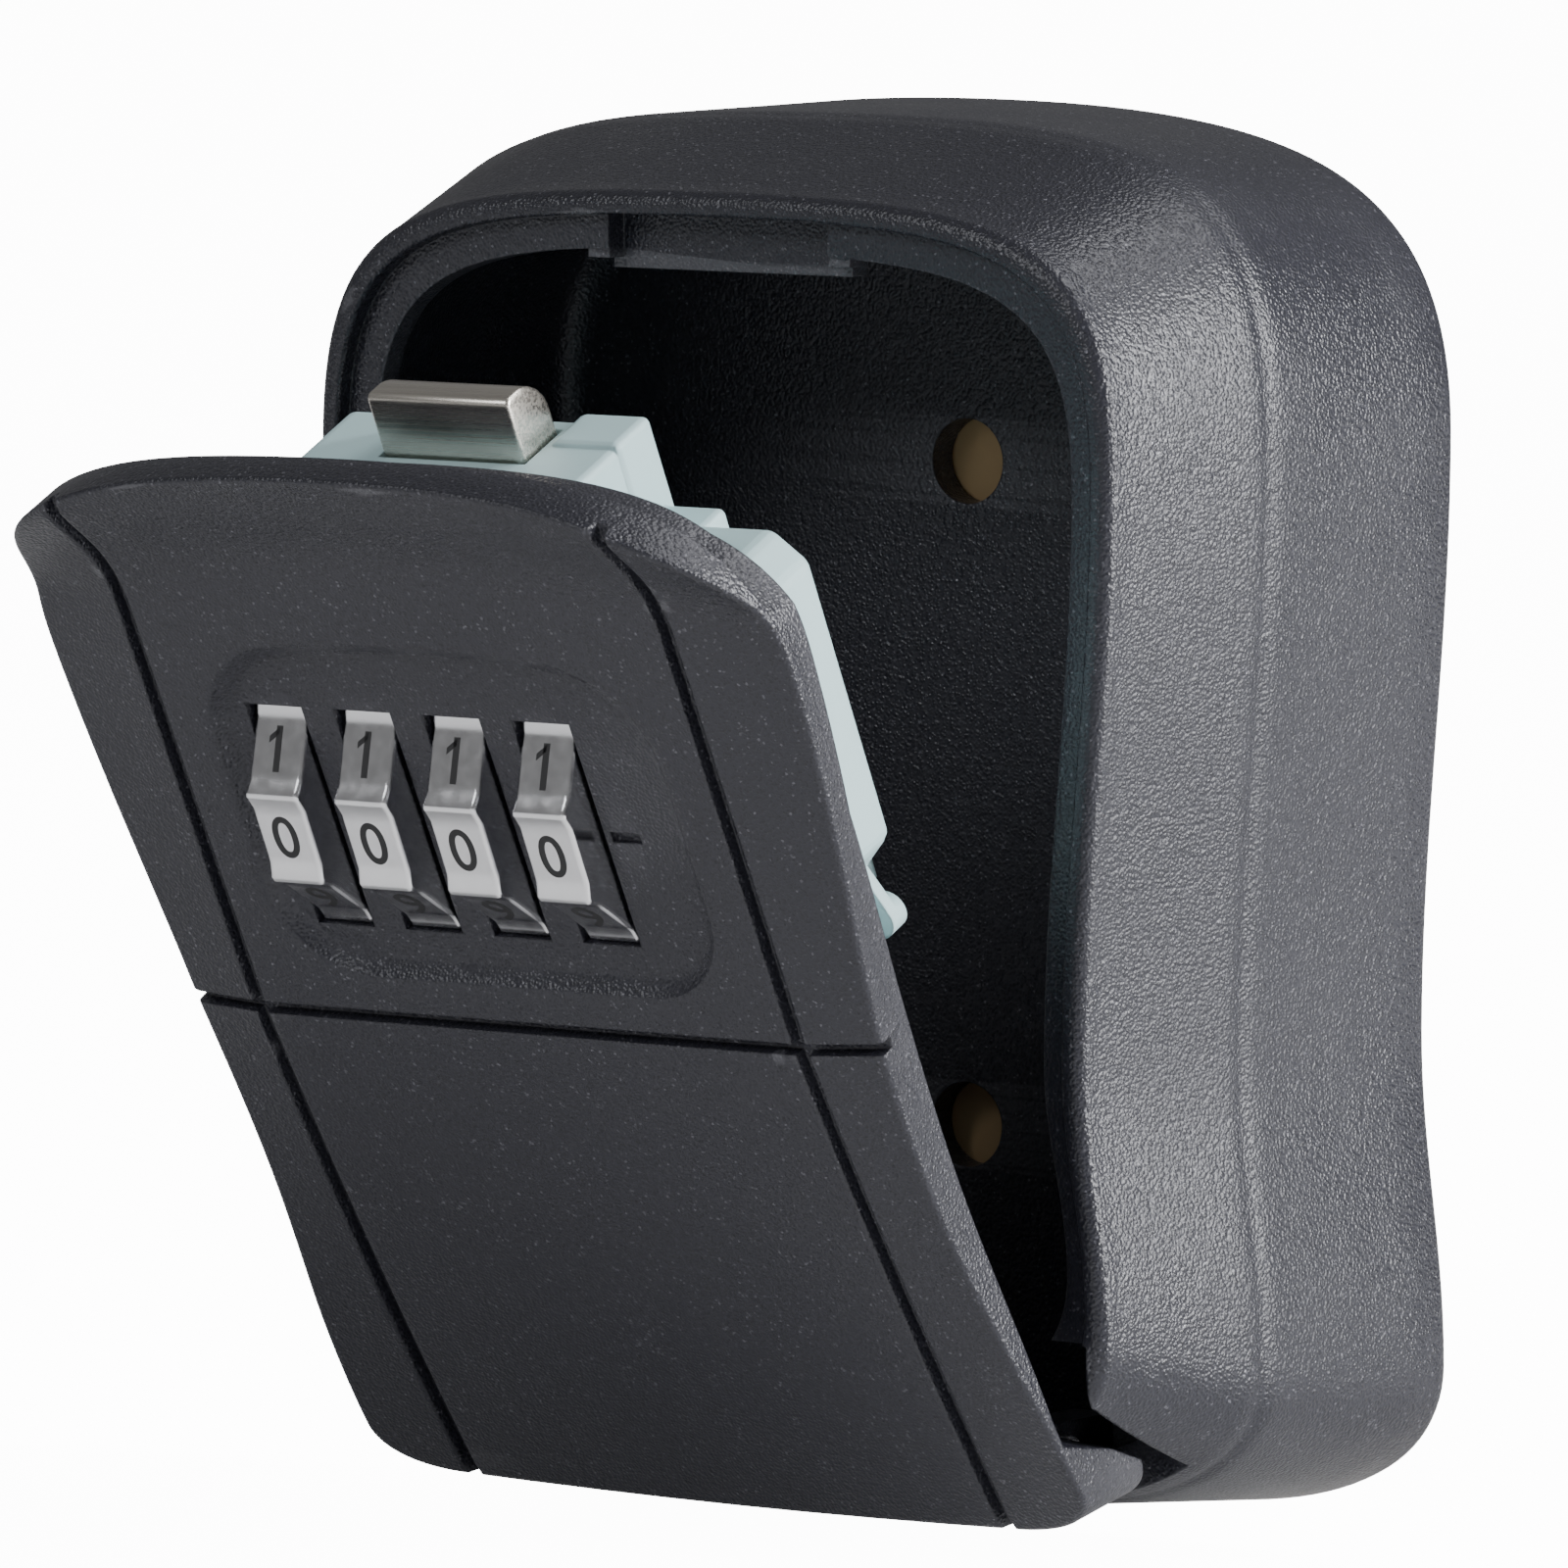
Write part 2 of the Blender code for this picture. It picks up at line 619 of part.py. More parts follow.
def edge_at(x, z):
    """How far a point of the face is from the door's edge."""
    near = 0.0
    far = 34.0
    while far - near > 0.01:
        edge = (near + far) / 2
        ring = door_outline(edge)
        right = ring[: len(ring) // 2 + 1]
        reach = 0.0
        for (x0, z0), (x1, z1) in zip(right, right[1:]):
            if z1 <= z < z0:
                reach = max(reach, x0 + (x1 - x0) * (z0 - z) / (z0 - z1))
        if reach > abs(x):
            near = edge
        else:
            far = edge
    return near


def front_y(x, z):
    """The front face anywhere, with its lip and its rounded edge."""
    edge = edge_at(x, z)
    short = max(0.0, EDGE_ROUND - edge)
    return face_y(z) - lip(x, z, edge) + EDGE_ROUND - math.sqrt(EDGE_ROUND**2 - short**2)


def groove(path):
    """A cutter of even width and depth that follows the door's face."""
    path = [Vector(point) for point in path]
    along = (path[-1] - path[0]).normalized()
    side = Vector((-along.y, along.x)) * GROOVE_WIDTH / 2
    rings = []
    for point in path:
        floor = front_y(*point) + GROOVE_DEPTH
        a = point + side
        b = point - side
        rings.append([(a.x, floor, a.y), (b.x, floor, b.y), (b.x, FACE_Y - 12, b.y), (a.x, FACE_Y - 12, a.y)])
    return loft(rings)


def panel_outline():
    """The recess round the dials: a rounded rectangle whose top edge arches."""
    points = []
    for quarter, (sx, sz) in enumerate(((1, 1), (-1, 1), (-1, -1), (1, -1))):
        corner = (sx * (PANEL_HALF - PANEL_CORNER), PANEL_Z + sz * (PANEL_TALL / 2 - PANEL_CORNER))
        points += circle(corner, PANEL_CORNER, 6, 90.0 * quarter, 90.0)
        if quarter == 0:
            reach = PANEL_HALF - PANEL_CORNER
            points += [(x * reach, PANEL_Z + PANEL_TALL / 2) for x in (0.75, 0.5, 0.25, 0.0, -0.25, -0.5, -0.75)]
    lifted = []
    for x, z in points:
        up = max(0.0, (z - PANEL_Z) / (PANEL_TALL / 2))
        lifted.append((x, z + PANEL_ARCH * up * (1 - (x / PANEL_HALF) ** 2) - PANEL_ARCH / 2 * up))
    return lifted


def build_door(material, pivot):
    rings = [(16.0, 0.0), (LIP_BAND, 0.0), (8.0, 0.0), (4.5, 0.0)]
    rings += [
        (EDGE_ROUND * (1 - math.sin(math.radians(a))), EDGE_ROUND * (1 - math.cos(math.radians(a))))
        for a in (0, 30, 60, 90)
    ]
    skin = [front_ring(edge, back) for edge, back in rings]
    high = SPIGOT_EDGE + SPIGOT_TOP_IN
    skin += [back_ring(0.0, 0.0, band_back), back_ring(SPIGOT_EDGE, 0.5, band_back, high)]
    skin += [back_ring(SPIGOT_EDGE, 1.0, spigot_back, high), back_ring(SPIGOT_EDGE + 1.4, DOOR_WALL, spigot_back, high + 1.4)]
    skin += [inside_ring(SPIGOT_EDGE + 1.5, DOOR_WALL + 0.1, high + 1.5), inside_ring(9.0, 8.0), inside_ring(16.0, 16.0)]
    door = place("door_shell", door_skin(skin), material, pivot)
    root_y = face_y(HINGE_Z) + 1.2
    root = [(HINGE_Y, HINGE_Z - LUG_R + 0.3), (HINGE_Y, HINGE_Z + LUG_R)]
    root += [(root_y, HINGE_Z + LUG_R + 2.0), (root_y, HINGE_Z - LUG_R + 0.3)]
    for side in (-1, 1):
        ends = (side * DOOR_LUG_X - LUG_WIDE / 2, side * DOOR_LUG_X + LUG_WIDE / 2)
        join(door, prism(root, "X", *ends), rod("X", (HINGE_Y, HINGE_Z), LUG_R, *ends))
    for x, z in COVER_SCREWS:
        join(door, rod("Y", (x, z), BOSS_R, face_y(z) + PANEL_WALL - 0.5, COVER_LOW_Y - COVER_WALL - GAP, 16))
        cut(door, rod("Y", (x, z), SCREW_R + GAP, face_y(z) + PANEL_WALL, COVER_LOW_Y, 16))
    cut(door, rod("X", (HINGE_Y, HINGE_Z), PIN_R + GAP, -PIN_REACH, PIN_REACH))
    top = CASE_HEIGHT / 2 - DOOR_IN
    heights = [DOOR_BOTTOM + 1.0 + (top - DOOR_BOTTOM - 1.0) * n / 26 for n in range(27)]
    for side in (-1, 1):
        x = side * GROOVE_X
        path = [(x, z) for z in heights if edge_at(x, z) > 0.05]
        path = [(x, DOOR_BOTTOM - 2.0)] + path + [(x, top)]
        cut(door, groove(path))
    reach = CASE_WIDTH / 2 - DOOR_IN - WAIST_IN - DOOR_WAIST
    across = [-1.0, -0.985, -0.96, -0.9, -0.75, 0.75, 0.9, 0.96, 0.985, 1.0]
    cut(door, groove([(share * (reach + 2.0), GROOVE_Z) for share in across]))
    panel = panel_outline()
    floor = [(x, face_y(z) + PANEL_DEEP, z) for x, z in panel]
    cut(door, loft([floor, [(x, FACE_Y - 8, z) for x, z in panel]]))
    for x in DIALS_X:
        left = x - WINDOW_WIDE / 2
        right = x + WINDOW_WIDE / 2
        cut(door, box((left, FACE_Y - 4, DIAL_Z - WINDOW_TALL / 2), (right, WORKS_Y + 0.5, DIAL_Z + WINDOW_TALL / 2)))
        cut(door, rod("X", (AXLE_Y, DIAL_Z), DIAL_RIDGE + RUN, left, right, 64))
    mark = DIALS_X[-1] + DIAL_PITCH / 2 - 1.0
    return cut(door, box((mark, PANEL_Y - 3, DIAL_Z - 0.5), (mark + 3.0, PANEL_Y + 0.5, DIAL_Z + 0.5)))


def plate(inset):
    """The outline of the cover's side plates."""
    wide = PLATE_X - inset
    foot = PLATE_FOOT_X - inset
    turn = 0.414 * inset
    half = [(foot, COVER_BOTTOM + inset), (foot, PLATE_LOW - PLATE_X + PLATE_FOOT_X + turn), (wide, PLATE_LOW + turn)]
    half += [(wide, PLATE_TOP - PLATE_CORNER - turn), (PLATE_X - PLATE_CORNER - turn, PLATE_TOP - inset)]
    return half + [(-x, z) for x, z in half[::-1]]


def tall(inset):
    """The outline of the tall part behind the bolt, chamfered at its left shoulder."""
    left = BOX_LEFT + inset
    right = BOX_RIGHT - inset
    top = COVER_TOP - inset
    turn = 0.414 * inset
    points = [(left, COVER_BOTTOM + inset), (left, COVER_TOP - COVER_CHAMFER - turn)]
    points += [(BOX_LEFT + COVER_CHAMFER + turn, top), (COVER_STEP_X - inset, top), (COVER_STEP_X - inset, COVER_STEP_Z - inset)]
    return points + [(right, COVER_STEP_Z - inset), (right, COVER_BOTTOM + inset)]


def deep(inset, front, back):
    low = (BOX_LEFT + inset, front, COVER_BOTTOM + inset)
    return box(low, (BOX_RIGHT - inset, back, COVER_DEEP_TOP - inset))


def build_cover(material, pivot):
    cover = place("mechanism_cover", prism(plate(0.0), "Y", WORKS_Y, COVER_LOW_Y), material, pivot)
    soften(cover, 0.7)
    tall_part = place("tall_part", prism(tall(0.0), "Y", WORKS_Y - 0.2, COVER_TALL_Y), material, pivot)
    deep_part = place("deep_part", deep(0.0, WORKS_Y - 0.4, COVER_DEEP_Y), material, pivot)
    high = COVER_TOP + RAISED_BY / 2
    raised_box = box((RAISED_X, COVER_LOW_Y, RAISED_Z), (COVER_STEP_X + 0.2, COVER_TALL_Y + RAISED_BY, high))
    raised = place("raised", raised_box, material, pivot)
    for piece in (tall_part, deep_part, raised):
        soften(piece, 0.6)
        modifier = cover.modifiers.new("join", "BOOLEAN")
        modifier.operation = "UNION"
        modifier.solver = "EXACT"
        modifier.object = piece
        bake(cover)
        bpy.data.objects.remove(piece)
    wall = COVER_WALL
    front = box((-CASE_WIDTH, WORKS_Y - 4, -CASE_HEIGHT), (CASE_WIDTH, WORKS_Y, CASE_HEIGHT))
    cut(cover, prism(plate(wall), "Y", WORKS_Y - 2, COVER_LOW_Y - wall))
    cut(cover, prism(tall(wall), "Y", WORKS_Y - 3, COVER_TALL_Y - wall), deep(wall, WORKS_Y - 3.5, COVER_DEEP_Y - wall), front)
    half = BOLT_WIDE / 2 + GAP
    cut(cover, box((-half, BOLT_FRONT_Y - GAP, COVER_TOP - wall - 1), (half, BOLT_BACK_Y + GAP, COVER_TOP + 1)))
    cut(cover, *[rod("Y", at, SCREW_R + GAP, COVER_LOW_Y - 3, COVER_LOW_Y + 1, 16) for at in COVER_SCREWS])
    return join(cover, rod("Y", LEVER_AT, STUD_R, COVER_LOW_Y - 0.8, COVER_LOW_Y + STUD_LONG, 16))


def build_hook(material, pivot):
    x, z = HOOK_AT
    start = COVER_DEEP_Y + GAP
    path = [(x, start, z), (x, start + 1.6, z), (x, start + 2.9, z + 0.4), (x, start + 3.7, z + 1.6)]
    place("key_hook", wire(path + [(x, start + 4.0, z + 3.2), (x, start + 4.0, z + 5.4)], HOOK_R, 12), material, pivot)


def build_screws(material, pivot):
    base = COVER_LOW_Y + GAP
    for n, (x, z) in enumerate(COVER_SCREWS):
        bm = rod("Y", (x, z), SCREW_R, base - 8.0, base + 0.4, 16)
        screw = place(f"cover_screw_{n + 1}", bm, material, pivot)
        head = [(0.0, base), (SCREW_HEAD_R, base), (SCREW_HEAD_R, base + 0.5), (SCREW_HEAD_R * 0.7, base + 1.1)]
        join(screw, turned(head + [(0.0, base + 1.3)], "Y", (x, z), 20))
        cut(screw, box((x - 1.3, base + 0.6, z - 0.25), (x + 1.3, base + 2.0, z + 0.25)))
        cut(screw, box((x - 0.25, base + 0.6, z - 1.3), (x + 0.25, base + 2.0, z + 1.3)))


def dial_outline():
    flat = DIAL_FLAT / math.cos(math.radians(180 / DIGITS - RIDGE_HALF))
    points = []
    for n in range(DIGITS):
        middle = 180 + 360 * n / DIGITS
        reach = 180 / DIGITS
        spots = ((-reach + RIDGE_HALF, flat), (reach - RIDGE_HALF, flat))
        spots += ((reach - RIDGE_TOP_HALF, DIAL_RIDGE), (reach + RIDGE_TOP_HALF, DIAL_RIDGE))
        for turn, radius in spots:
            angle = math.radians(middle + turn)
            points.append((AXLE_Y + radius * math.cos(angle), DIAL_Z + radius * math.sin(angle)))
    return points


def build_dials(chrome, brass, pivot):
    rim = dial_outline()
    bore = []
    for y, z in rim:
        away = (Vector((y, z)) - Vector((AXLE_Y, DIAL_Z))).normalized() * (SLEEVE_R + GAP)
        bore.append((AXLE_Y + away.x, DIAL_Z + away.y))
    for n, x in enumerate(DIALS_X):
        left = x - DIAL_WIDE / 2
        right = x + DIAL_WIDE / 2
        bm = bmesh.new()
        loops = [[bm.verts.new((at, y, z)) for y, z in ring] for ring, at in ((rim, left), (rim, right), (bore, right), (bore, left))]
        for a, b in zip(loops, loops[1:] + loops[:1]):
            for k in range(len(a)):
                m = (k + 1) % len(a)
                bm.faces.new((a[k], a[m], b[m], b[k]))
        place(f"dial_{n + 1}", bm, chrome, pivot, (x, AXLE_Y, DIAL_Z))
        hole = AXLE_R + GAP
        sleeve = [(hole, left), (SLEEVE_R, left), (SLEEVE_R, x + DISC_START), (CODE_DISC_R, x + DISC_START)]
        sleeve += [(CODE_DISC_R, x + DISC_END), (hole, x + DISC_END)]
        code = place(f"code_sleeve_{n + 1}", turned(sleeve, "X", (AXLE_Y, DIAL_Z)), brass, pivot, (x, AXLE_Y, DIAL_Z))
        cut(code, box((x + DISC_START - 1, AXLE_Y - 0.9, DIAL_Z - 9), (x + DISC_END + 1, AXLE_Y + 0.9, DIAL_Z - 4.2)))


def build_carrier(material, steel, pivot):
    left = FRAME_LEFT - FRAME_BAR
    right = FRAME_RIGHT + FRAME_BAR
    back = WORKS_Y + FRAME_DEEP
    frame = place(
        "dial_carrier", box((left, WORKS_Y, FRAME_LOW - FRAME_BAR), (right, back, FRAME_HIGH + FRAME_BAR)), material, pivot
    )
    soften(frame, 0.5, 1)
    cut(frame, box((FRAME_LEFT, WORKS_Y - 1, FRAME_LOW), (FRAME_RIGHT, back + 1, FRAME_HIGH)))
    cut(frame, rod("X", (AXLE_Y, DIAL_Z), AXLE_R + GAP, left - 1, right + 1))
    place("dial_axle", rod("X", (AXLE_Y, DIAL_Z), AXLE_R, left - GAP, right + GAP), steel, pivot)
    turn = Vector((1.0, -1.0)).normalized()
    middle = Vector((AXLE_Y, DIAL_Z)) + turn * (DIAL_RIDGE + RUN + DETENT_THICK / 2)
    along = Vector((1.0, 1.0)).normalized()
    foot = back + GAP + DETENT_THICK / 2
    path = [(foot, FRAME_LOW - FRAME_BAR), (foot, FRAME_LOW - 1.2), (foot + 1.8, FRAME_LOW - 0.9)]
    path += [tuple(middle - along * 5.0), tuple(middle + along * 2.5)]
    detent = place("detent_spring", prism(strip(path, DETENT_THICK), "X", FRAME_LEFT, FRAME_RIGHT), steel, pivot)
    for x in [(a + b) / 2 for a, b in zip(DIALS_X, DIALS_X[1:])]:
        low = FRAME_LOW + 0.4
        cut(detent, box((x - 1.2, foot + 1.5, low), (x + 1.2, AXLE_Y + 20, DIAL_Z)))


def build_latch(nickel, steel, pivot):
    nose = circle((BOLT_BACK_Y - NOSE_R, BOLT_TOP - NOSE_R), NOSE_R, 8, 0.0, 90.0)
    low = SLIDE_TOP + GAP
    side = [(BOLT_FRONT_Y, low), (BOLT_BACK_Y, low)] + nose + [(BOLT_FRONT_Y + 0.6, BOLT_TOP), (BOLT_FRONT_Y, BOLT_TOP - 0.6)]
    bolt = place("latch_bolt", prism(side, "X", -BOLT_WIDE / 2, BOLT_WIDE / 2), nickel, pivot)
    join(bolt, box((-3.0, SLIDE_BACK_Y + GAP, SLIDE_BOTTOM + 1.0), (3.0, BOLT_BACK_Y, low + 2.0)))
    left = FRAME_LEFT + RUN
    web = SLIDE_BOTTOM + 2.6
    finger = DIAL_Z + CODE_DISC_R + RUN + LATCH_TRAVEL
    comb = [(left, SLIDE_BOTTOM), (left, SLIDE_TOP - SLIDE_CHAMFER), (left + SLIDE_CHAMFER, SLIDE_TOP)]
    comb += [(SLIDE_RIGHT, SLIDE_TOP), (SLIDE_RIGHT, web)]
    comb += [(DIALS_X[-1] + DISC_END, web)]
    for x in DIALS_X[::-1]:
        comb += [(x + DISC_END, finger), (x + DISC_START, finger), (x + DISC_START, SLIDE_BOTTOM)]
        if x > DIALS_X[0]:
            comb.append((x - DIAL_PITCH + DISC_END, SLIDE_BOTTOM))
    slide = place("lock_slide", prism(comb, "Y", SLIDE_FRONT_Y, SLIDE_BACK_Y), steel, pivot)
    for n, x in enumerate(SPRINGS_X):
        ear = box((x - 2.2, SPRING_Y - 2.2, SLIDE_TOP - EAR_THICK), (x + 2.2, SLIDE_FRONT_Y + 1.0, SLIDE_TOP - 0.01))
        join(slide, ear)
        path = coil("Z", (x, SPRING_Y), SPRING_R, SPRING_LOW + SPRING_WIRE, SPRING_HIGH - SPRING_WIRE, SPRING_TURNS)
        place(f"latch_spring_{('left', 'right')[n]}", wire(path, SPRING_WIRE, 6), steel, pivot)


def build_lever(material, brass, pivot):
    base = COVER_LOW_Y + GAP
    along = Vector(LEVER_TIP) - Vector(LEVER_AT)
    side = Vector((-along.y, along.x)).normalized()
    hub = [tuple(Vector(LEVER_AT) + side * LEVER_HUB_R * 0.9), tuple(Vector(LEVER_TIP) + side * LEVER_TIP_R)]
    hub += [tuple(Vector(LEVER_TIP) - side * LEVER_TIP_R), tuple(Vector(LEVER_AT) - side * LEVER_HUB_R * 0.9)]
    origin = (LEVER_AT[0], base, LEVER_AT[1])
    lever = place("reset_lever", rod("Y", LEVER_AT, LEVER_HUB_R, base, base + LEVER_THICK), material, pivot, origin)
    join(lever, prism(hub, "Y", base + 0.1, base + LEVER_THICK - 0.1))
    join(lever, rod("Y", LEVER_TIP, LEVER_TIP_R, base + 0.05, base + LEVER_THICK + 0.8))
    cut(lever, rod("Y", LEVER_AT, STUD_R + GAP, base - 1, base + 4))
    low = base + LEVER_THICK + GAP + SPRING_WIRE
    path = coil("Y", LEVER_AT, STUD_R + GAP + SPRING_WIRE + 0.1, low, low + 1.8, 2)
    place("reset_spring", wire(path, SPRING_WIRE, 6), brass, pivot)


def main():
    clear_scene()
    charcoal = finish("charcoal powder coat", (0.045, 0.046, 0.055), 0.6, 0.2)
    teal = finish("pale teal moulding", (0.48, 0.69, 0.66), 0.45)
    chrome = finish("polished chrome", (0.8, 0.8, 0.82), 0.12, 1.0)
    nickel = finish("satin nickel", (0.66, 0.62, 0.56), 0.3, 1.0)
    steel = finish("bright steel", (0.6, 0.6, 0.62), 0.25, 1.0)
    brass = finish("brass", (0.72, 0.55, 0.25), 0.3, 1.0)
    black = finish("black moulding", (0.03, 0.03, 0.03), 0.5)
    cork = finish("tan backing", (0.4, 0.26, 0.13), 0.9)
    build_case(charcoal)
    build_pad(cork)
    build_pin(steel)
    pivot = bpy.data.objects.new("door_pivot", None)
    bpy.context.collection.objects.link(pivot)
    pivot.location = Vector((0.0, HINGE_Y, HINGE_Z)) * MM
    bpy.context.view_layer.update()
    build_door(charcoal, pivot)
    build_cover(teal, pivot)
    build_hook(steel, pivot)
    build_screws(steel, pivot)
    build_dials(chrome, brass, pivot)
    build_carrier(black, steel, pivot)
    build_latch(nickel, steel, pivot)
    build_lever(teal, brass, pivot)
    pivot.rotation_euler.x = math.radians(DOOR_OPEN)
    for obj in bpy.data.objects:
        if obj.type == "MESH":
            obj.data.shade_smooth()
            obj.data.set_sharp_from_angle(angle=math.radians(35))


main()
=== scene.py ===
import math

import bmesh
import bpy
from mathutils import Matrix, Vector


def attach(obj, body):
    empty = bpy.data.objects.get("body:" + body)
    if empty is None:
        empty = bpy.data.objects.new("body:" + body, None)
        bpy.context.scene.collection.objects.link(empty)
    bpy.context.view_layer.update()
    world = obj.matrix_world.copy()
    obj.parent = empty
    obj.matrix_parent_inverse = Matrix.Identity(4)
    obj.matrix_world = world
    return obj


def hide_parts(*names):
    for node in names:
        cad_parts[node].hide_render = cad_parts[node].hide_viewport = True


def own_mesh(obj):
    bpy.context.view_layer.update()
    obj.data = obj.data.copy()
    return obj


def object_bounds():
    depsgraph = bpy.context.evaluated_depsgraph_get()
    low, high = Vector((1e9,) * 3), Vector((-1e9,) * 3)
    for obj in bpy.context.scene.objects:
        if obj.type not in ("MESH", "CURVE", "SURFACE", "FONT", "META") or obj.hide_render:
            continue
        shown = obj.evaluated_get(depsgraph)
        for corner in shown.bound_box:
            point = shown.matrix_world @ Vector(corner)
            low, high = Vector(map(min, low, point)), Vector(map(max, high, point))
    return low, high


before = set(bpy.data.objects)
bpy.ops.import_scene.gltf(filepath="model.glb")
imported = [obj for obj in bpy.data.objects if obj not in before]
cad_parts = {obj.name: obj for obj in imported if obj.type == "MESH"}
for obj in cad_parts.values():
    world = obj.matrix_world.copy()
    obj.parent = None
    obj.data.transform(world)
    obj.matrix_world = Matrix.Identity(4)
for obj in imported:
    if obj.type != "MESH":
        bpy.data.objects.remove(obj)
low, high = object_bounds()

# Studio: a pale floor below the box, a white surround, three soft boxes and one long-lens camera.
# The camera stands to the right of the box and a little above it, as the reference view does.
scene = bpy.context.scene


def add_object(name, data):
    obj = bpy.data.objects.new(name, data)
    scene.collection.objects.link(obj)
    return obj


def new_material(name):
    """A material with its Principled shader, ready for nodes."""
    material = bpy.data.materials.new(name)
    material.use_nodes = True
    tree = material.node_tree
    return material, tree, tree.nodes["Principled BSDF"]


turn = math.radians(35.8)
rise = math.radians(5.4)
forward = Vector((-math.sin(turn) * math.cos(rise), math.cos(turn) * math.cos(rise), -math.sin(rise)))
right = Vector((math.cos(turn), math.sin(turn), 0))
up = right.cross(forward)
camera = bpy.data.cameras.new("camera")
camera.lens = 337.5
camera.sensor_width = 36
camera.clip_start = 0.05
camera_object = add_object("camera", camera)
spot = Vector((0, -0.043, 0)) - 1.2397 * forward + 0.00663 * right + 0.00375 * up
axes = Matrix(((right.x, up.x, -forward.x, 0), (right.y, up.y, -forward.y, 0), (right.z, up.z, -forward.z, 0), (0, 0, 0, 1)))
camera_object.matrix_world = Matrix.Translation(spot) @ axes
scene.camera = camera_object


def soft_box(name, place, target, size, watts, colour=(1, 1, 1)):
    lamp = bpy.data.lights.new(name, "AREA")
    lamp.shape = "RECTANGLE"
    lamp.size, lamp.size_y = size
    lamp.energy = watts
    lamp.color = colour
    obj = add_object(name, lamp)
    obj.location = place
    obj.rotation_euler = (Vector(target) - Vector(place)).to_track_quat("-Z", "Y").to_euler()


soft_box("key", (0.97, 0.27, 0.24), (0.0, -0.04, 0.0), (0.12, 0.8), 22.0)
soft_box("front", (-0.35, -1.2, 0.75), (0, -0.04, 0), (0.7, 0.5), 7.0, (0.97, 0.98, 1.0))
soft_box("top", (0.35, 0.25, 0.9), (0, -0.04, 0), (0.5, 0.35), 4.0)
world = bpy.data.worlds.new("surround")
scene.world = world
world.use_nodes = True
nodes, links = world.node_tree.nodes, world.node_tree.links
path = nodes.new("ShaderNodeLightPath")
mix = nodes.new("ShaderNodeMix")
mix.inputs[2].default_value = 0.2
mix.inputs[3].default_value = 14.0
links.new(path.outputs["Is Camera Ray"], mix.inputs[0])
links.new(mix.outputs[0], nodes["Background"].inputs["Strength"])
nodes["Background"].inputs["Color"].default_value = (1, 1, 1, 1)

floor_mesh = bpy.data.meshes.new("floor")
drop = low[2] - 0.004
floor_mesh.from_pydata([(-3, -3, drop), (3, -3, drop), (3, 3, drop), (-3, 3, drop)], [], [(0, 1, 2, 3)])
floor = add_object("floor", floor_mesh)
material, tree, shader = new_material("pale floor")
grain = tree.nodes.new("ShaderNodeTexNoise")
grain.inputs["Scale"].default_value = 40
shade = tree.nodes.new("ShaderNodeValToRGB")
shade.color_ramp.elements[0].color = (0.93, 0.93, 0.93, 1)
shade.color_ramp.elements[1].color = (0.97, 0.97, 0.97, 1)
tree.links.new(grain.outputs["Fac"], shade.inputs[0])
tree.links.new(shade.outputs[0], shader.inputs["Base Color"])
shader.inputs["Roughness"].default_value = 0.9
shader.inputs["Emission Color"].default_value = (1, 1, 1, 1)
seen = tree.nodes.new("ShaderNodeLightPath")
glow = tree.nodes.new("ShaderNodeMath")
glow.operation = "MULTIPLY"
glow.inputs[1].default_value = 13.0
tree.links.new(seen.outputs["Is Camera Ray"], glow.inputs[0])
tree.links.new(glow.outputs[0], shader.inputs["Emission Strength"])
floor_mesh.materials.append(material)


# Housing: the die-cast box that screws to the wall, in one wrinkle powder coat inside and out.
# Its wall draws in to a crease, tapers to a rounded rim, and holds a ledge that the door closes on.
MM = 0.001


def node(tree, kind, **values):
    """A shader node with its input values set by name."""
    made = tree.nodes.new(kind)
    for name, value in values.items():
        made.inputs[name.replace("_", " ")].default_value = value
    return made


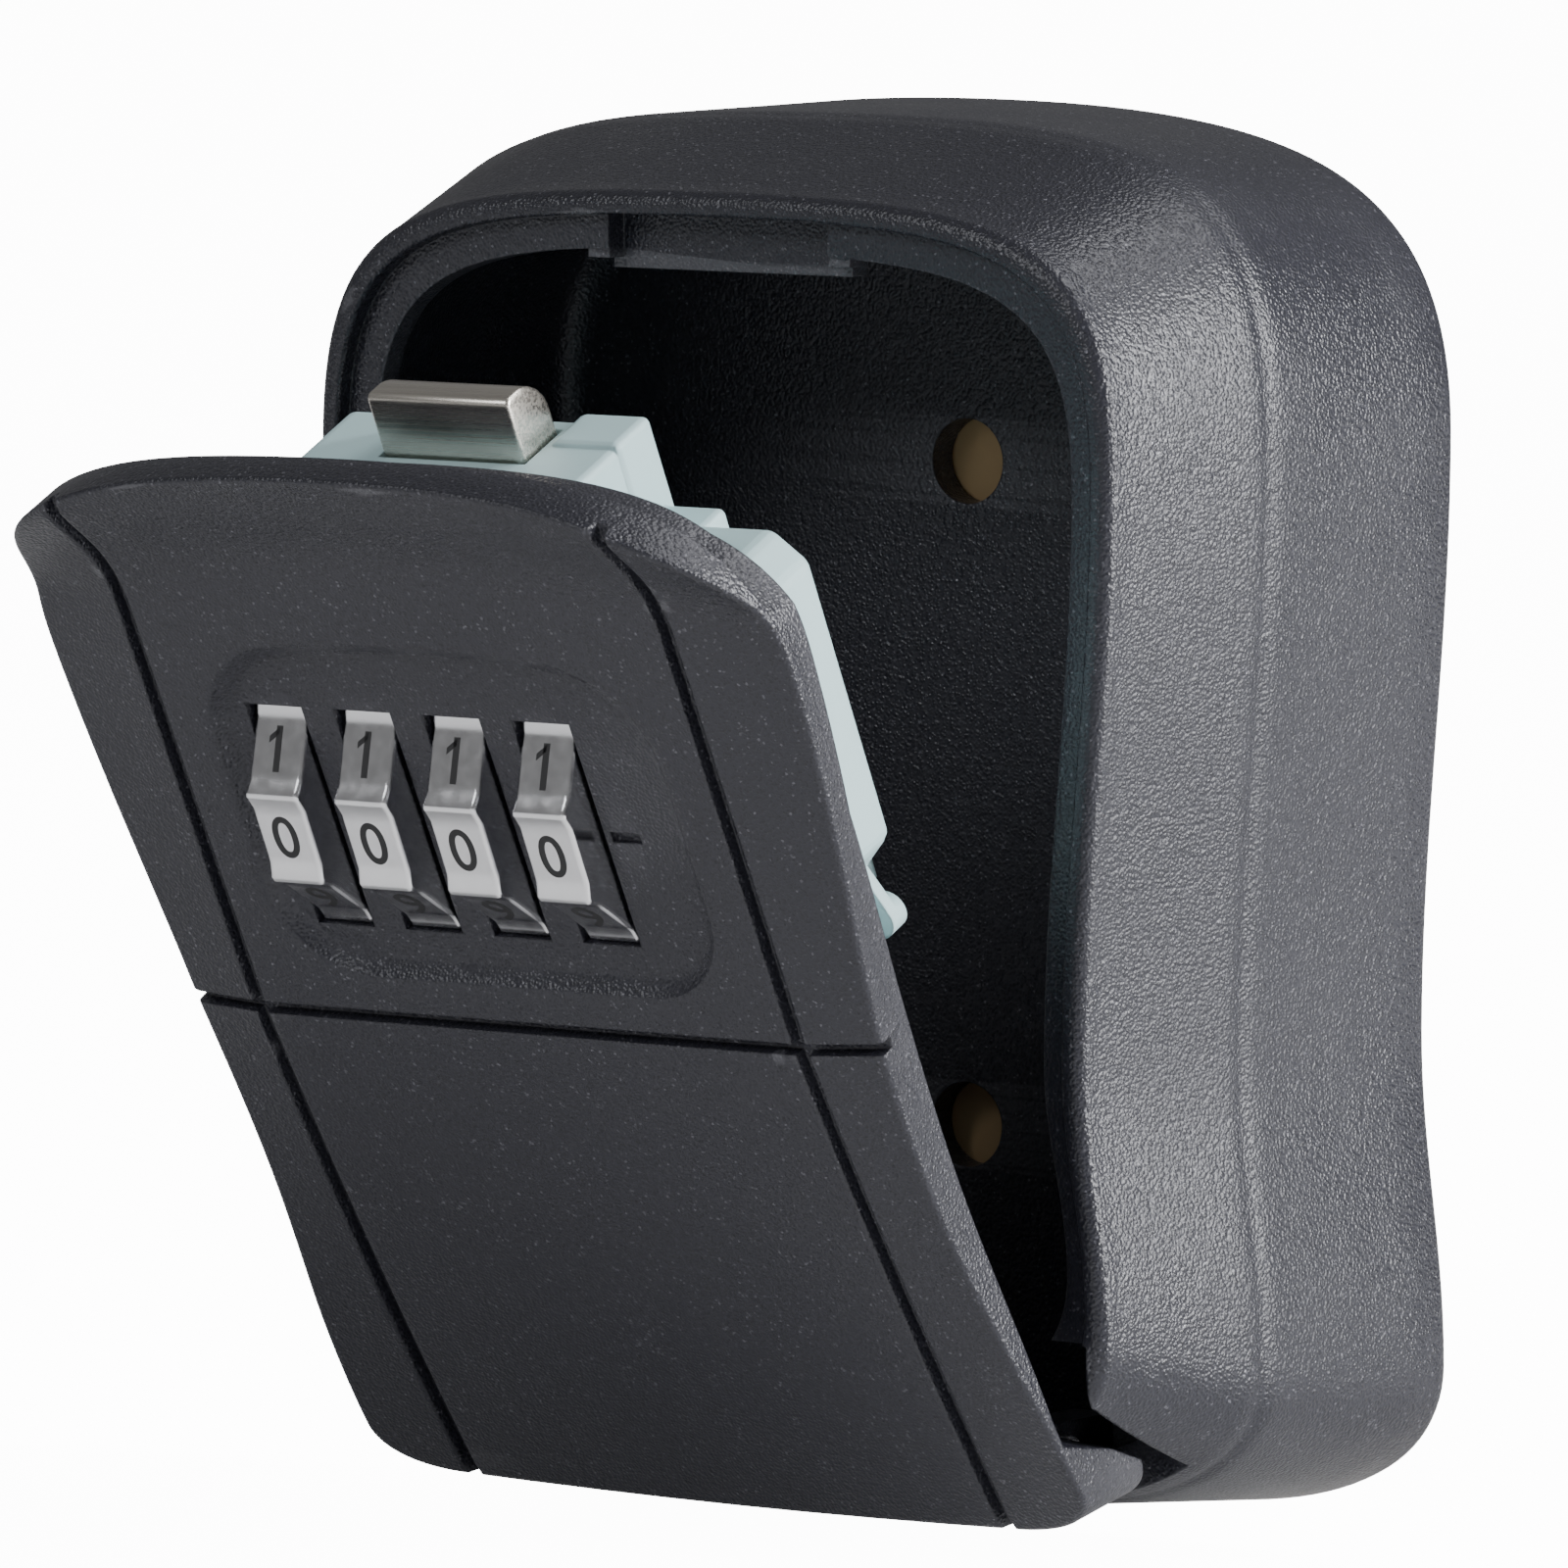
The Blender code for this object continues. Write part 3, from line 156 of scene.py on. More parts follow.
def coat(name, dark, light, rough, bump, edge_light):
    """Fine wrinkle powder coat: cells under half a millimetre, small bright flecks and soft cast edges, with a painted
    highlight that lightens the convex edges.
    """
    material, tree, shader = new_material(name)
    link = tree.links.new
    where = tree.nodes.new("ShaderNodeTexCoord")
    cells = tree.nodes.new("ShaderNodeTexVoronoi")
    cells.feature = "SMOOTH_F1"
    cells.inputs["Scale"].default_value = 3300.0
    cells.inputs["Smoothness"].default_value = 0.55
    warp = node(tree, "ShaderNodeTexNoise", Scale=2300.0, Detail=3.0)
    broad = node(tree, "ShaderNodeTexNoise", Scale=55.0, Detail=4.0)
    flecks = node(tree, "ShaderNodeTexVoronoi", Scale=5200.0)
    for texture in (warp, broad, flecks):
        link(where.outputs["Object"], texture.inputs["Vector"])
    shift = tree.nodes.new("ShaderNodeVectorMath")
    shift.operation = "MULTIPLY_ADD"
    shift.inputs[1].default_value = (0.00014, 0.00014, 0.00014)
    link(warp.outputs["Color"], shift.inputs[0])
    link(where.outputs["Object"], shift.inputs[2])
    link(shift.outputs[0], cells.inputs["Vector"])
    height = tree.nodes.new("ShaderNodeMath")
    height.operation = "MULTIPLY_ADD"
    height.inputs[1].default_value = 0.6
    link(warp.outputs["Fac"], height.inputs[0])
    link(cells.outputs["Distance"], height.inputs[2])
    soft = node(tree, "ShaderNodeBevel", Radius=0.0003)
    soft.samples = 6
    raised = node(tree, "ShaderNodeBump", Strength=bump, Distance=0.00012)
    raised.invert = True
    link(height.outputs[0], raised.inputs["Height"])
    link(soft.outputs[0], raised.inputs["Normal"])
    link(raised.outputs[0], shader.inputs["Normal"])
    tone = tree.nodes.new("ShaderNodeMix")
    tone.data_type = "RGBA"
    tone.inputs[6].default_value = (*dark, 1)
    tone.inputs[7].default_value = (*light, 1)
    spread = node(tree, "ShaderNodeMapRange", From_Min=0.3, From_Max=0.75)
    link(height.outputs[0], spread.inputs["Value"])
    link(spread.outputs[0], tone.inputs[0])
    fleck = node(tree, "ShaderNodeMapRange", From_Min=0.965, From_Max=1.0)
    split = tree.nodes.new("ShaderNodeSeparateColor")
    link(flecks.outputs["Color"], split.inputs[0])
    link(split.outputs[0], fleck.inputs["Value"])
    speckled = tree.nodes.new("ShaderNodeMix")
    speckled.data_type = "RGBA"
    speckled.inputs[7].default_value = (0.12, 0.12, 0.14, 1)
    link(fleck.outputs[0], speckled.inputs[0])
    link(tone.outputs[2], speckled.inputs[6])
    # Painted highlight: convex edges, found by pointiness, are lightened towards a paler grey.
    painted_edge_highlight = tree.nodes.new("ShaderNodeMix")
    painted_edge_highlight.data_type = "RGBA"
    painted_edge_highlight.inputs[7].default_value = (0.19, 0.19, 0.21, 1)
    around = tree.nodes.new("ShaderNodeNewGeometry")
    crest = node(tree, "ShaderNodeMapRange", From_Min=0.53, From_Max=0.60, To_Max=edge_light)
    link(around.outputs["Pointiness"], crest.inputs["Value"])
    link(crest.outputs[0], painted_edge_highlight.inputs[0])
    link(speckled.outputs[2], painted_edge_highlight.inputs[6])
    link(painted_edge_highlight.outputs[2], shader.inputs["Base Color"])
    polish = node(tree, "ShaderNodeMapRange", From_Min=0.3, From_Max=0.7, To_Min=rough - 0.06, To_Max=rough + 0.08)
    link(broad.outputs["Fac"], polish.inputs["Value"])
    link(polish.outputs[0], shader.inputs["Roughness"])
    shader.inputs["Metallic"].default_value = 0.15
    shader.inputs["Specular IOR Level"].default_value = 0.55
    return material


def bezier(points, steps):
    """Points along a cubic curve, without its first one."""
    a, b, c, d = (Vector(point) for point in points)
    found = []
    for n in range(1, steps + 1):
        t = n / steps
        s = 1 - t
        found.append(a * s**3 + b * 3 * s * s * t + c * 3 * s * t * t + d * t**3)
    return found


def outline(inset, top_in=None, full=1.0, bottom=None, corner=13.0):
    """The arched and waisted outline, drawn in by inset, from the top centre clockwise, in millimetres."""
    top = 60.0 - (inset if top_in is None else top_in)
    bottom = inset - 60.0 if bottom is None else bottom
    wide = 47.5 - inset
    waist = wide - 2.7
    foot = wide - 0.3
    shoulder_z = 33.0 - 0.3 * inset
    foot_z = bottom + corner
    upper = 0.36 * (shoulder_z + 18.0)
    lower = 0.36 * (-18.0 - foot_z)
    crown = shoulder_z + (0.775 + 0.125 * full) * (top - shoulder_z)
    reach = (0.715 + 0.05 * full) * wide
    half = [Vector((0.0, top))]
    half += bezier(((0, top), (reach, top), (wide, crown), (wide, shoulder_z)), 44)
    half += bezier(((wide, shoulder_z), (wide, shoulder_z - upper), (waist, -18.0 + upper), (waist, -18.0)), 20)
    half += bezier(((waist, -18.0), (waist, -18.0 - lower), (foot, foot_z + lower), (foot, foot_z)), 14)
    turn = foot - 1.9 * corner
    half += bezier(((foot, foot_z), (foot, bottom + 0.38 * corner), (foot - 0.7 * corner, bottom), (turn, bottom)), 24)
    half += [Vector((turn * share, bottom)) for share in (0.75, 0.5, 0.25, 0.0)]
    return [(x, z) for x, z in half] + [(-x, z) for x, z in half[-2:0:-1]]


def draft(y, at_crease):
    """How far the outer wall is drawn in at this depth."""
    if y > -25.0:
        return at_crease * y / -25.0
    return at_crease + (6.2 - at_crease) * (-25.0 - y) / (-25.0 + 41.6)


def smoothed(obj, angle=32):
    obj.data.shade_smooth()
    obj.data.set_sharp_from_angle(angle=math.radians(angle))


def solid(name, bm, material, turned=False):
    """A mesh object from millimetre geometry; the door's pieces are modelled shut, then turned open."""
    bmesh.ops.remove_doubles(bm, verts=bm.verts, dist=0.00005)
    bmesh.ops.recalc_face_normals(bm, faces=bm.faces)
    bm.transform(Matrix.Scale(MM, 4))
    if turned:
        pin = Matrix.Translation((0, -0.0363, -0.052))
        bm.transform(pin @ Matrix.Rotation(math.radians(26), 4, "X") @ pin.inverted())
    mesh = bpy.data.meshes.new(name)
    bm.to_mesh(mesh)
    bm.free()
    mesh.materials.append(material)
    return add_object(name, mesh)


def block(low, high):
    bm = bmesh.new()
    bmesh.ops.create_cube(bm, size=1.0)
    size = Vector(high) - Vector(low)
    bm.transform(Matrix.Translation((Vector(high) + Vector(low)) / 2) @ Matrix.Diagonal((*size, 1.0)))
    return bm


def prism(points, axis, low, high):
    """A flat outline pulled along one axis."""
    bm = bmesh.new()

    def at(point, along):
        coords = list(point)
        coords.insert("XYZ".index(axis), along)
        return bm.verts.new(coords)

    first = [at(point, low) for point in points]
    last = [at(point, high) for point in points]
    for n in range(len(points)):
        m = (n + 1) % len(points)
        bm.faces.new((first[n], first[m], last[m], last[n]))
    bm.faces.new(first[::-1])
    bm.faces.new(last)
    return bm


def circle(centre, radius, sides=64, start=0.0, turn=360.0):
    count = sides if turn == 360.0 else sides + 1
    found = []
    for n in range(count):
        angle = math.radians(start + turn * n / sides)
        found.append((centre[0] + radius * math.cos(angle), centre[1] + radius * math.sin(angle)))
    return found


def rod(axis, centre, radius, low, high, sides=64):
    return prism(circle(centre, radius, sides), axis, low, high)


def skin(rings):
    """Rings of equal length joined in turn, open at both ends."""
    bm = bmesh.new()
    loops = [[bm.verts.new(point) for point in ring] for ring in rings]
    for a, b in zip(loops, loops[1:]):
        for n in range(len(a)):
            m = (n + 1) % len(a)
            bm.faces.new((a[n], a[m], b[m], b[n]))
    return bm, loops


def ladder(bm, loop):
    """Fills a mirrored loop with one face for each pair of rungs."""
    count = len(loop)
    last = count // 2 - 5
    bm.faces.new((loop[0], loop[1], loop[-1]))
    for n in range(1, last):
        bm.faces.new((loop[n], loop[n + 1], loop[count - n - 1], loop[count - n]))
    bm.faces.new(loop[last : count - last + 1])


def combine(target, operation, shapes, turned=False):
    for shape in shapes:
        tool = solid("tool", shape, target.data.materials[0], turned)
        modifier = target.modifiers.new(operation, "BOOLEAN")
        modifier.operation = operation
        modifier.solver = "EXACT"
        modifier.object = tool
        graph = bpy.context.evaluated_depsgraph_get()
        mesh = bpy.data.meshes.new_from_object(target.evaluated_get(graph))
        target.modifiers.clear()
        target.data = mesh
        bpy.data.objects.remove(tool)


def case_ring(y, inset, top_in=None):
    return [(x, y, z) for x, z in outline(inset, top_in, min(1.0, y / -25.0))]


def wall(y, extra=0.0):
    return y, draft(y, 2.3) + extra, draft(y, 0.4) + extra


case_coat = coat("charcoal wrinkle coat", (0.006, 0.0062, 0.010), (0.022, 0.0225, 0.031), 0.34, 0.7, 0.3)
rings = [(-1.6, 4.0, 4.0), (0.0, 4.0, 4.0), (0.0, 1.2, 1.2), (-0.12, 0.8, 0.75), (-0.5, 0.4, 0.3), (-1.0, 0.2, 0.1)]
rings += [wall(y) for y in (-1.6, -6.0, -12.0, -18.0, -22.0)]
for n in range(9):
    y = -23.0 - n * 0.5
    rings.append(wall(y, 0.28 * (1 - abs(y + 25.0) / 2.0) ** 2 if abs(y + 25.0) < 2.0 else 0.0))
rings += [wall(y) for y in (-29.0, -33.0, -37.0, -40.0)]
for n in range(11):
    angle = math.radians(9 * n)
    rings.append((-43 + 1.4 * (1 - math.sin(angle)), 6.2 + 1.4 * (1 - math.cos(angle)), 6.2 + 1.4 * (1 - math.cos(angle))))
for n in range(5):
    angle = math.radians(22.5 * n)
    rings.append((-43 + 0.4 * (1 - math.cos(angle)), 8.0 + 0.4 * math.sin(angle), 8.0 + 0.4 * math.sin(angle)))
for y, inset in ((-41.3, 8.4), (-41.3, 11.0), (-41.15, 11.3), (-38.9, 11.3)):
    rings.append((y, inset, inset))
rings += [wall(-38.9, 3.0), wall(-33.0, 3.0), wall(-25.0, 3.0)]
rings += [(-15.0, 3.9, 3.7), (-8.0, 4.1, 4.0), (-7.1, 4.2, 4.2), (-6.0, 4.5, 4.5), (-5.3, 5.1, 5.1), (-4.8, 5.9, 5.9), (-4.6, 6.8, 6.8)]
bm, loops = skin([case_ring(*ring) for ring in rings])
ladder(bm, loops[0])
ladder(bm, loops[-1])
housing = solid("housing_cast", bm, case_coat)
for side in (-1, 1):
    ends = sorted((side * 10.9, side * 13.6))
    combine(housing, "UNION", [block((ends[0], -41.1, 47.7), (ends[1], -39.1, 50.3))])
combine(housing, "DIFFERENCE", [block((-39.1, -48, -120), (39.1, -27.874, -41.046))])
combine(housing, "DIFFERENCE", [block((-11.4, -44, 0), (11.4, -38.4, 51.6))])
for z in (-28.8, 28.8):
    combine(housing, "DIFFERENCE", [rod("Y", (0, z), 3.7, -6.6, 1.0, 96)])
combine(housing, "UNION", [block((-12.4, -39.05, 46.8), (12.4, -36.8, 53.8))])
for side in (-1, 1):
    ends = (side * 25 - 2, side * 25 + 2)
    root = [(-36.3, -49.9), (-21.4, -49.9), (-21.4, -55.0), (-28.1, -55.0), (-28.1, -53.5), (-36.3, -53.5)]
    combine(housing, "UNION", [prism(root, "X", *ends), rod("X", (-36.3, -52), 2.5, *ends)])
combine(housing, "DIFFERENCE", [rod("X", (-36.3, -52), 1.55, -29.6, 29.6)])
smoothed(housing)
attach(housing, "case")
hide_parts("housing")


# Door shell: the die-cast front that drops open on its pin, with a flared grip lip along the top.
# Two long grooves, a cross groove and the dial recess are cast in; the coat is the housing's.
def face_y(z):
    """The plain front face, by height."""
    if z >= -4.5:
        return -48.7 - 0.028 * (z + 4.5)
    below = -4.5 - z
    return -48.7 + 0.11 * below + 0.0008 * below * below


def lip(x, z, edge):
    """How far the face stands forward: the grip lip, less the fall of the side strips."""
    fade = min(1.0, max(0.0, (z - 35.0) / 12.0))
    flare = 4.9 - 0.6 * max(0.0, 1 - (x / 28.0) ** 2)
    beyond = min(1.0, max(0.0, (abs(x) - 28.0) / 10.0))
    foot = min(1.0, max(0.0, (z + 38.0) / 33.5))
    near = max(0.0, 1 - edge / 12.5)
    return flare * fade * fade * (3 - 2 * fade) * (0.75 * near + 0.25 * near * near) - 1.25 * beyond * foot


def door_outline(edge):
    half = 38.5 - edge
    points = []
    for x, z in outline(9.0 + edge, None, 0.3, edge - 56.0, max(4.5 - 0.2 * edge, 2.5)):
        low = min(1.0, max(0.0, (-46.0 - z) / 5.0))
        drawn = 0.7 * min(1.0, max(0.0, (33.0 - z) / 33.0))
        points.append((x - drawn * x / half, z - low * (1 - (x / half) ** 2)))
    return points


def cheek(z):
    share = min(1.0, max(0.0, (-46.0 - z) / 5.0))
    return share * share * (3 - 2 * share)


def front_ring(edge, back=0.0):
    return [(x, face_y(z) - lip(x, z, edge) + back, z) for x, z in door_outline(edge)]


def eased(edge, top_edge, cheek_edge):
    """The outline drawn in by edge at the sides, by top_edge at the top and by cheek_edge at the cheeks."""
    points = []
    for (x, z), above, below in zip(door_outline(edge), door_outline(top_edge), door_outline(cheek_edge)):
        crown = min(1.0, max(0.0, (z - 34.0) / 8.0))
        other, share = (above, crown) if z > 0 else (below, min(1.0, 2.2 * cheek(z)))
        points.append((x + (other[0] - x) * share, z + (other[1] - z) * share))
    return points


def back_ring(edge, top_edge, cheek_edge, behind):
    ring = []
    for x, z in eased(edge, top_edge, cheek_edge):
        share = cheek(z)
        plain = behind(z)
        ring.append((x, plain + (-32.8 - plain) * share, z - 2.0 * share))
    return ring


def band_back(z):
    rise = z + 1.0
    return -43.4 - 0.081 * rise - 0.00102 * rise * rise


def inside_ring(edge, top_edge, cheek_edge):
    ring = []
    for x, z in eased(edge, top_edge, cheek_edge):
        thick = 1.8 + 1.8 * min(1.0, max(0.0, (z + 4.5) / 4.0))
        ring.append((x, face_y(z) + thick, z))
    return ring


def edge_at(x, z):
    near = 0.0
    far = 34.0
    while far - near > 0.02:
        edge = (near + far) / 2
        ring = door_outline(edge)
        side = ring[: len(ring) // 2 + 1]
        reach = 0.0
        for (x0, z0), (x1, z1) in zip(side, side[1:]):
            if z1 <= z < z0:
                reach = max(reach, x0 + (x1 - x0) * (z0 - z) / (z0 - z1))
        if reach > abs(x):
            near = edge
        else:
            far = edge
    return near


def front_y(x, z):
    edge = edge_at(x, z)
    short = max(0.0, 0.6 - edge)
    return face_y(z) - lip(x, z, edge) + 0.6 - math.sqrt(0.36 - short**2)


def groove(path, half, foot, depth):
    """A V cutter with a narrow floor that follows the face."""
    path = [Vector(point) for point in path]
    along = (path[-1] - path[0]).normalized()
    side = Vector((-along.y, along.x))
    rings = []
    for point in path:
        y = front_y(*point)
        profile = ((half + 1.0, -2.0), (half, -0.02), (half * 0.82, 0.08), (foot, depth), (-foot, depth), (-half * 0.82, 0.08), (-half, -0.02), (-half - 1.0, -2.0))
        rings.append([(point.x + side.x * a, y + b, point.y + side.y * a) for a, b in profile])
    bm, loops = skin(rings)
    bm.faces.new(loops[0])
    bm.faces.new(loops[-1])
    bmesh.ops.triangulate(bm, faces=bm.faces)
    bmesh.ops.recalc_face_normals(bm, faces=bm.faces)
    return bm


def panel_ring(grow, deep):
    """The recess round the dials at one depth: a rounded rectangle whose top edge arches."""
    half, tall, corner = 22.5 + grow, 15.5 + grow, 8.0 + grow
    points = []
    for quarter, (sx, sz) in enumerate(((1, 1), (-1, 1), (-1, -1), (1, -1))):
        points += circle((sx * (half - corner), 15.5 + sz * (tall - corner)), corner, 24, 90.0 * quarter, 90.0)
        if quarter == 0:
            points += [((half - corner) * (1 - share / 12), 15.5 + tall) for share in range(1, 24)]
    ring = []
    for x, z in points:
        up = max(0.0, (z - 15.5) / tall)
        z += 2.2 * up * (1 - (x / half) ** 2) - 1.1 * up
        ring.append((x, face_y(z) + deep, z))
    return ring


front = [(16.0, 0.0), (14.0, 0.0)]
front += [(12.5 - n * 0.6, 0.0) for n in range(20)] + [(0.8, 0.0)]
for n in range(9):
    angle = math.radians(11.25 * n)
    front.append((0.6 * (1 - math.sin(angle)), 0.6 * (1 - math.cos(angle))))
rings = [front_ring(edge, back) for edge, back in front]
rings += [back_ring(0.0, 0.0, 0.0, lambda z: band_back(z) - 0.3), back_ring(0.3, 0.3, 0.2, band_back)]
rings += [back_ring(3.4, 5.8, 0.5, band_back)]
rings += [back_ring(3.4, 5.8, 1.0, lambda z: -41.2), back_ring(4.8, 7.2, 1.8, lambda z: -41.2)]
rings += [inside_ring(4.9, 7.3, 1.9), inside_ring(9.0, 9.0, 8.0), inside_ring(16.0, 16.0, 16.0)]
bm, loops = skin(rings)
ladder(bm, loops[0])
ladder(bm, loops[-1])
door = solid("door_cast", bm, case_coat, True)
for side in (-1, 1):
    ends = (side * 29.6 - 2, side * 29.6 + 2)
    root_y = face_y(-52.0) + 1.2
    root = [(-36.3, -54.2), (-36.3, -49.5), (root_y, -47.5), (root_y, -54.2)]
    combine(door, "UNION", [prism(root, "X", *ends), rod("X", (-36.3, -52), 2.5, *ends)], True)
combine(door, "DIFFERENCE", [rod("X", (-36.3, -52), 1.55, -33, 33)], True)
for side in (-1, 1):
    x = side * 28.0
    path = [(x, -55.0 + 106.0 * n / 70) for n in range(71)]
    path = [(x, -58.0)] + [(x, z) for x, z in path if edge_at(x, z) > 0.05] + [(x, 51.0)]
    combine(door, "DIFFERENCE", [groove(path, 0.9, 0.45, 1.15)], True)
across = [-37.5 + 75.0 * n / 60 for n in range(61)]
combine(door, "DIFFERENCE", [groove([(x, -4.5) for x in across], 0.7, 0.5, 1.2)], True)
bm, loops = skin([panel_ring(1.6, -1.5), panel_ring(0.9, -0.02), panel_ring(0.45, 0.1), panel_ring(-0.6, 1.25), panel_ring(-1.1, 1.4)])
bm.faces.new(loops[0])
bm.faces.new(loops[-1])
bmesh.ops.triangulate(bm, faces=bm.faces)
bmesh.ops.recalc_face_normals(bm, faces=bm.faces)
combine(door, "DIFFERENCE", [bm], True)
panel_y = face_y(14.5) + 1.4
axle_y = panel_y + 8.6
dials_x = [-16.8, -7.6, 1.6, 10.8]
for x in dials_x:
    combine(door, "DIFFERENCE", [block((x - 2.975, -52.7, 3.7), (x + 2.975, -44.4, 25.3))], True)
combine(door, "DIFFERENCE", [block((14.4, panel_y - 2, 14.0), (17.4, panel_y + 0.5, 15.0))], True)
smoothed(door)
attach(door, "door")
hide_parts("door_shell")


# Dials: four chromed wheels with ten flats, a roof-shaped ridge between flats and a black digit on each flat.
# The digits are engraved and paint-filled; each wheel turns on the axle.
def metal(name, colour, rough, spread, streak, stretch=(1.0, 1.0, 1.0), scale=900.0):
    """Plated or bare metal with fine directional marks."""
    material, tree, shader = new_material(name)
    link = tree.links.new
    where = tree.nodes.new("ShaderNodeTexCoord")
    mapping = tree.nodes.new("ShaderNodeMapping")
    mapping.inputs["Scale"].default_value = stretch
    marks = node(tree, "ShaderNodeTexNoise", Scale=scale, Detail=5.0)
    link(where.outputs["Object"], mapping.inputs["Vector"])
    link(mapping.outputs[0], marks.inputs["Vector"])
    polish = node(tree, "ShaderNodeMapRange", From_Min=0.3, From_Max=0.7, To_Min=rough, To_Max=rough + spread)
    link(marks.outputs["Fac"], polish.inputs["Value"])
    link(polish.outputs[0], shader.inputs["Roughness"])
    raised = node(tree, "ShaderNodeBump", Strength=streak, Distance=0.00003)
    soft = node(tree, "ShaderNodeBevel", Radius=0.0002)
    link(soft.outputs[0], raised.inputs["Normal"])
    link(marks.outputs["Fac"], raised.inputs["Height"])
    link(raised.outputs[0], shader.inputs["Normal"])
    tint = tree.nodes.new("ShaderNodeMix")
    tint.data_type = "RGBA"
    tint.inputs[6].default_value = (*[part * 0.88 for part in colour], 1)
    tint.inputs[7].default_value = (*colour, 1)
    link(marks.outputs["Fac"], tint.inputs[0])
    link(tint.outputs[2], shader.inputs["Base Color"])
    shader.inputs["Metallic"].default_value = 1.0
    return material


chrome = metal("polished chrome", (0.84, 0.84, 0.86), 0.13, 0.08, 0.15)
ink, tree, shader = new_material("black digit paint")
grain = node(tree, "ShaderNodeTexNoise", Scale=3000.0)
shade = tree.nodes.new("ShaderNodeValToRGB")
shade.color_ramp.elements[0].color = (0.008, 0.008, 0.009, 1)
shade.color_ramp.elements[1].color = (0.02, 0.02, 0.022, 1)
tree.links.new(grain.outputs["Fac"], shade.inputs[0])
tree.links.new(shade.outputs[0], shader.inputs["Base Color"])
shader.inputs["Roughness"].default_value = 0.6
for number, x in enumerate(dials_x):
    rim = []
    for n in range(10):
        middle = 180 + 36 * n
        for step in range(9):
            across = -12.2 + 24.4 * step / 8
            rim.append((middle + across, 12.2 / math.cos(math.radians(across))))
        rim += [(middle + 16.4, 13.05), (middle + 17.1, 13.18), (middle + 18.0, 13.2), (middle + 18.9, 13.18), (middle + 19.6, 13.05)]
    profiles = []
    for across, shrink in ((-2.7, 0.35), (-2.6, 0.12), (-2.4, 0.0), (2.4, 0.0), (2.6, 0.12), (2.7, 0.35)):
        profiles.append((across, shrink))
    rings = []
    for across, shrink in profiles:
        ring = []
        for angle, radius in rim:
            a = math.radians(angle)
            ring.append((x + across, axle_y + (radius - shrink) * math.cos(a), 14.5 + (radius - shrink) * math.sin(a)))
        rings.append(ring)
    for across in (2.7, -2.7):
        ring = []
        for angle, radius in rim:
            a = math.radians(angle)
            ring.append((x + across, axle_y + 5.2 * math.cos(a), 14.5 + 5.2 * math.sin(a)))
        rings.append(ring)
    bm, loops = skin(rings + rings[:1])
    wheel = solid(f"dial_wheel_{number + 1}", bm, chrome, True)
    smoothed(wheel, 20)
    body = f"dial_body_{number + 1}"
    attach(wheel, body)
    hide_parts(f"dial_{number + 1}")
    figures = bmesh.new()
    for digit in range(10):
        text = bpy.data.curves.new("figure", "FONT")
        text.body = str(digit)
        text.size = 5.6
        text.align_x = "CENTER"
        text.offset = 0.03
        text.extrude = 0.02
        text.resolution_u = 8
        figure = add_object("figure", text)
        graph = bpy.context.evaluated_depsgraph_get()
        mesh = bpy.data.meshes.new_from_object(figure.evaluated_get(graph))
        bpy.data.objects.remove(figure)
        angle = math.radians(-36 * digit)
        stand = Matrix.Rotation(math.radians(90), 4, "X")
        out = Matrix.Translation((0, -12.215, -1.9))
        spin = Matrix.Rotation(angle, 4, "X")
        mesh.transform(Matrix.Translation((x, axle_y, 14.5)) @ spin @ out @ stand)
        figures.from_mesh(mesh)
        if digit == 1:
            flag = prism([(0.05, 3.75), (-0.95, 2.95), (-0.95, 2.4), (0.05, 3.2)], "Z", -0.02, 0.02)
            flag.transform(Matrix.Translation((x, axle_y, 14.5)) @ spin @ out @ stand)
            flag_mesh = bpy.data.meshes.new("flag")
            flag.to_mesh(flag_mesh)
            flag.free()
            figures.from_mesh(flag_mesh)
    painted = solid(f"digits_{number + 1}", figures, ink, True)
    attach(painted, body)


# Latch bolt: the nickel-plated tongue that reaches up behind the strike, rounded where it first meets it.
# It is ground across its face, so its marks run from side to side.
nickel = metal("satin nickel", (0.70, 0.66, 0.60), 0.22, 0.12, 0.3, (1.0, 60.0, 60.0), 60.0)
nose = circle((-34.8, 45.2), 3.5, 24, 0.0, 90.0)
side = [(-36.5, 40.0), (-31.3, 40.0)] + nose + [(-35.9, 48.7), (-36.2, 48.62), (-36.42, 48.4), (-36.5, 48.1)]
bolt = solid("bolt_tongue", prism(side, "X", -7.25, 7.25), nickel, True)
combine(bolt, "UNION", [block((-3.0, -33.1, 32.3), (3.0, -31.3, 42.0))], True)
edges = bolt.modifiers.new("edges", "BEVEL")
edges.width = 0.00035
edges.segments = 4
edges.limit_method = "ANGLE"
edges.angle_limit = math.radians(50)
mesh = bpy.data.meshes.new_from_object(bolt.evaluated_get(bpy.context.evaluated_depsgraph_get()))
bolt.modifiers.clear()
bolt.data = mesh
smoothed(bolt, 40)
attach(bolt, "latch")
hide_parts("latch_bolt")


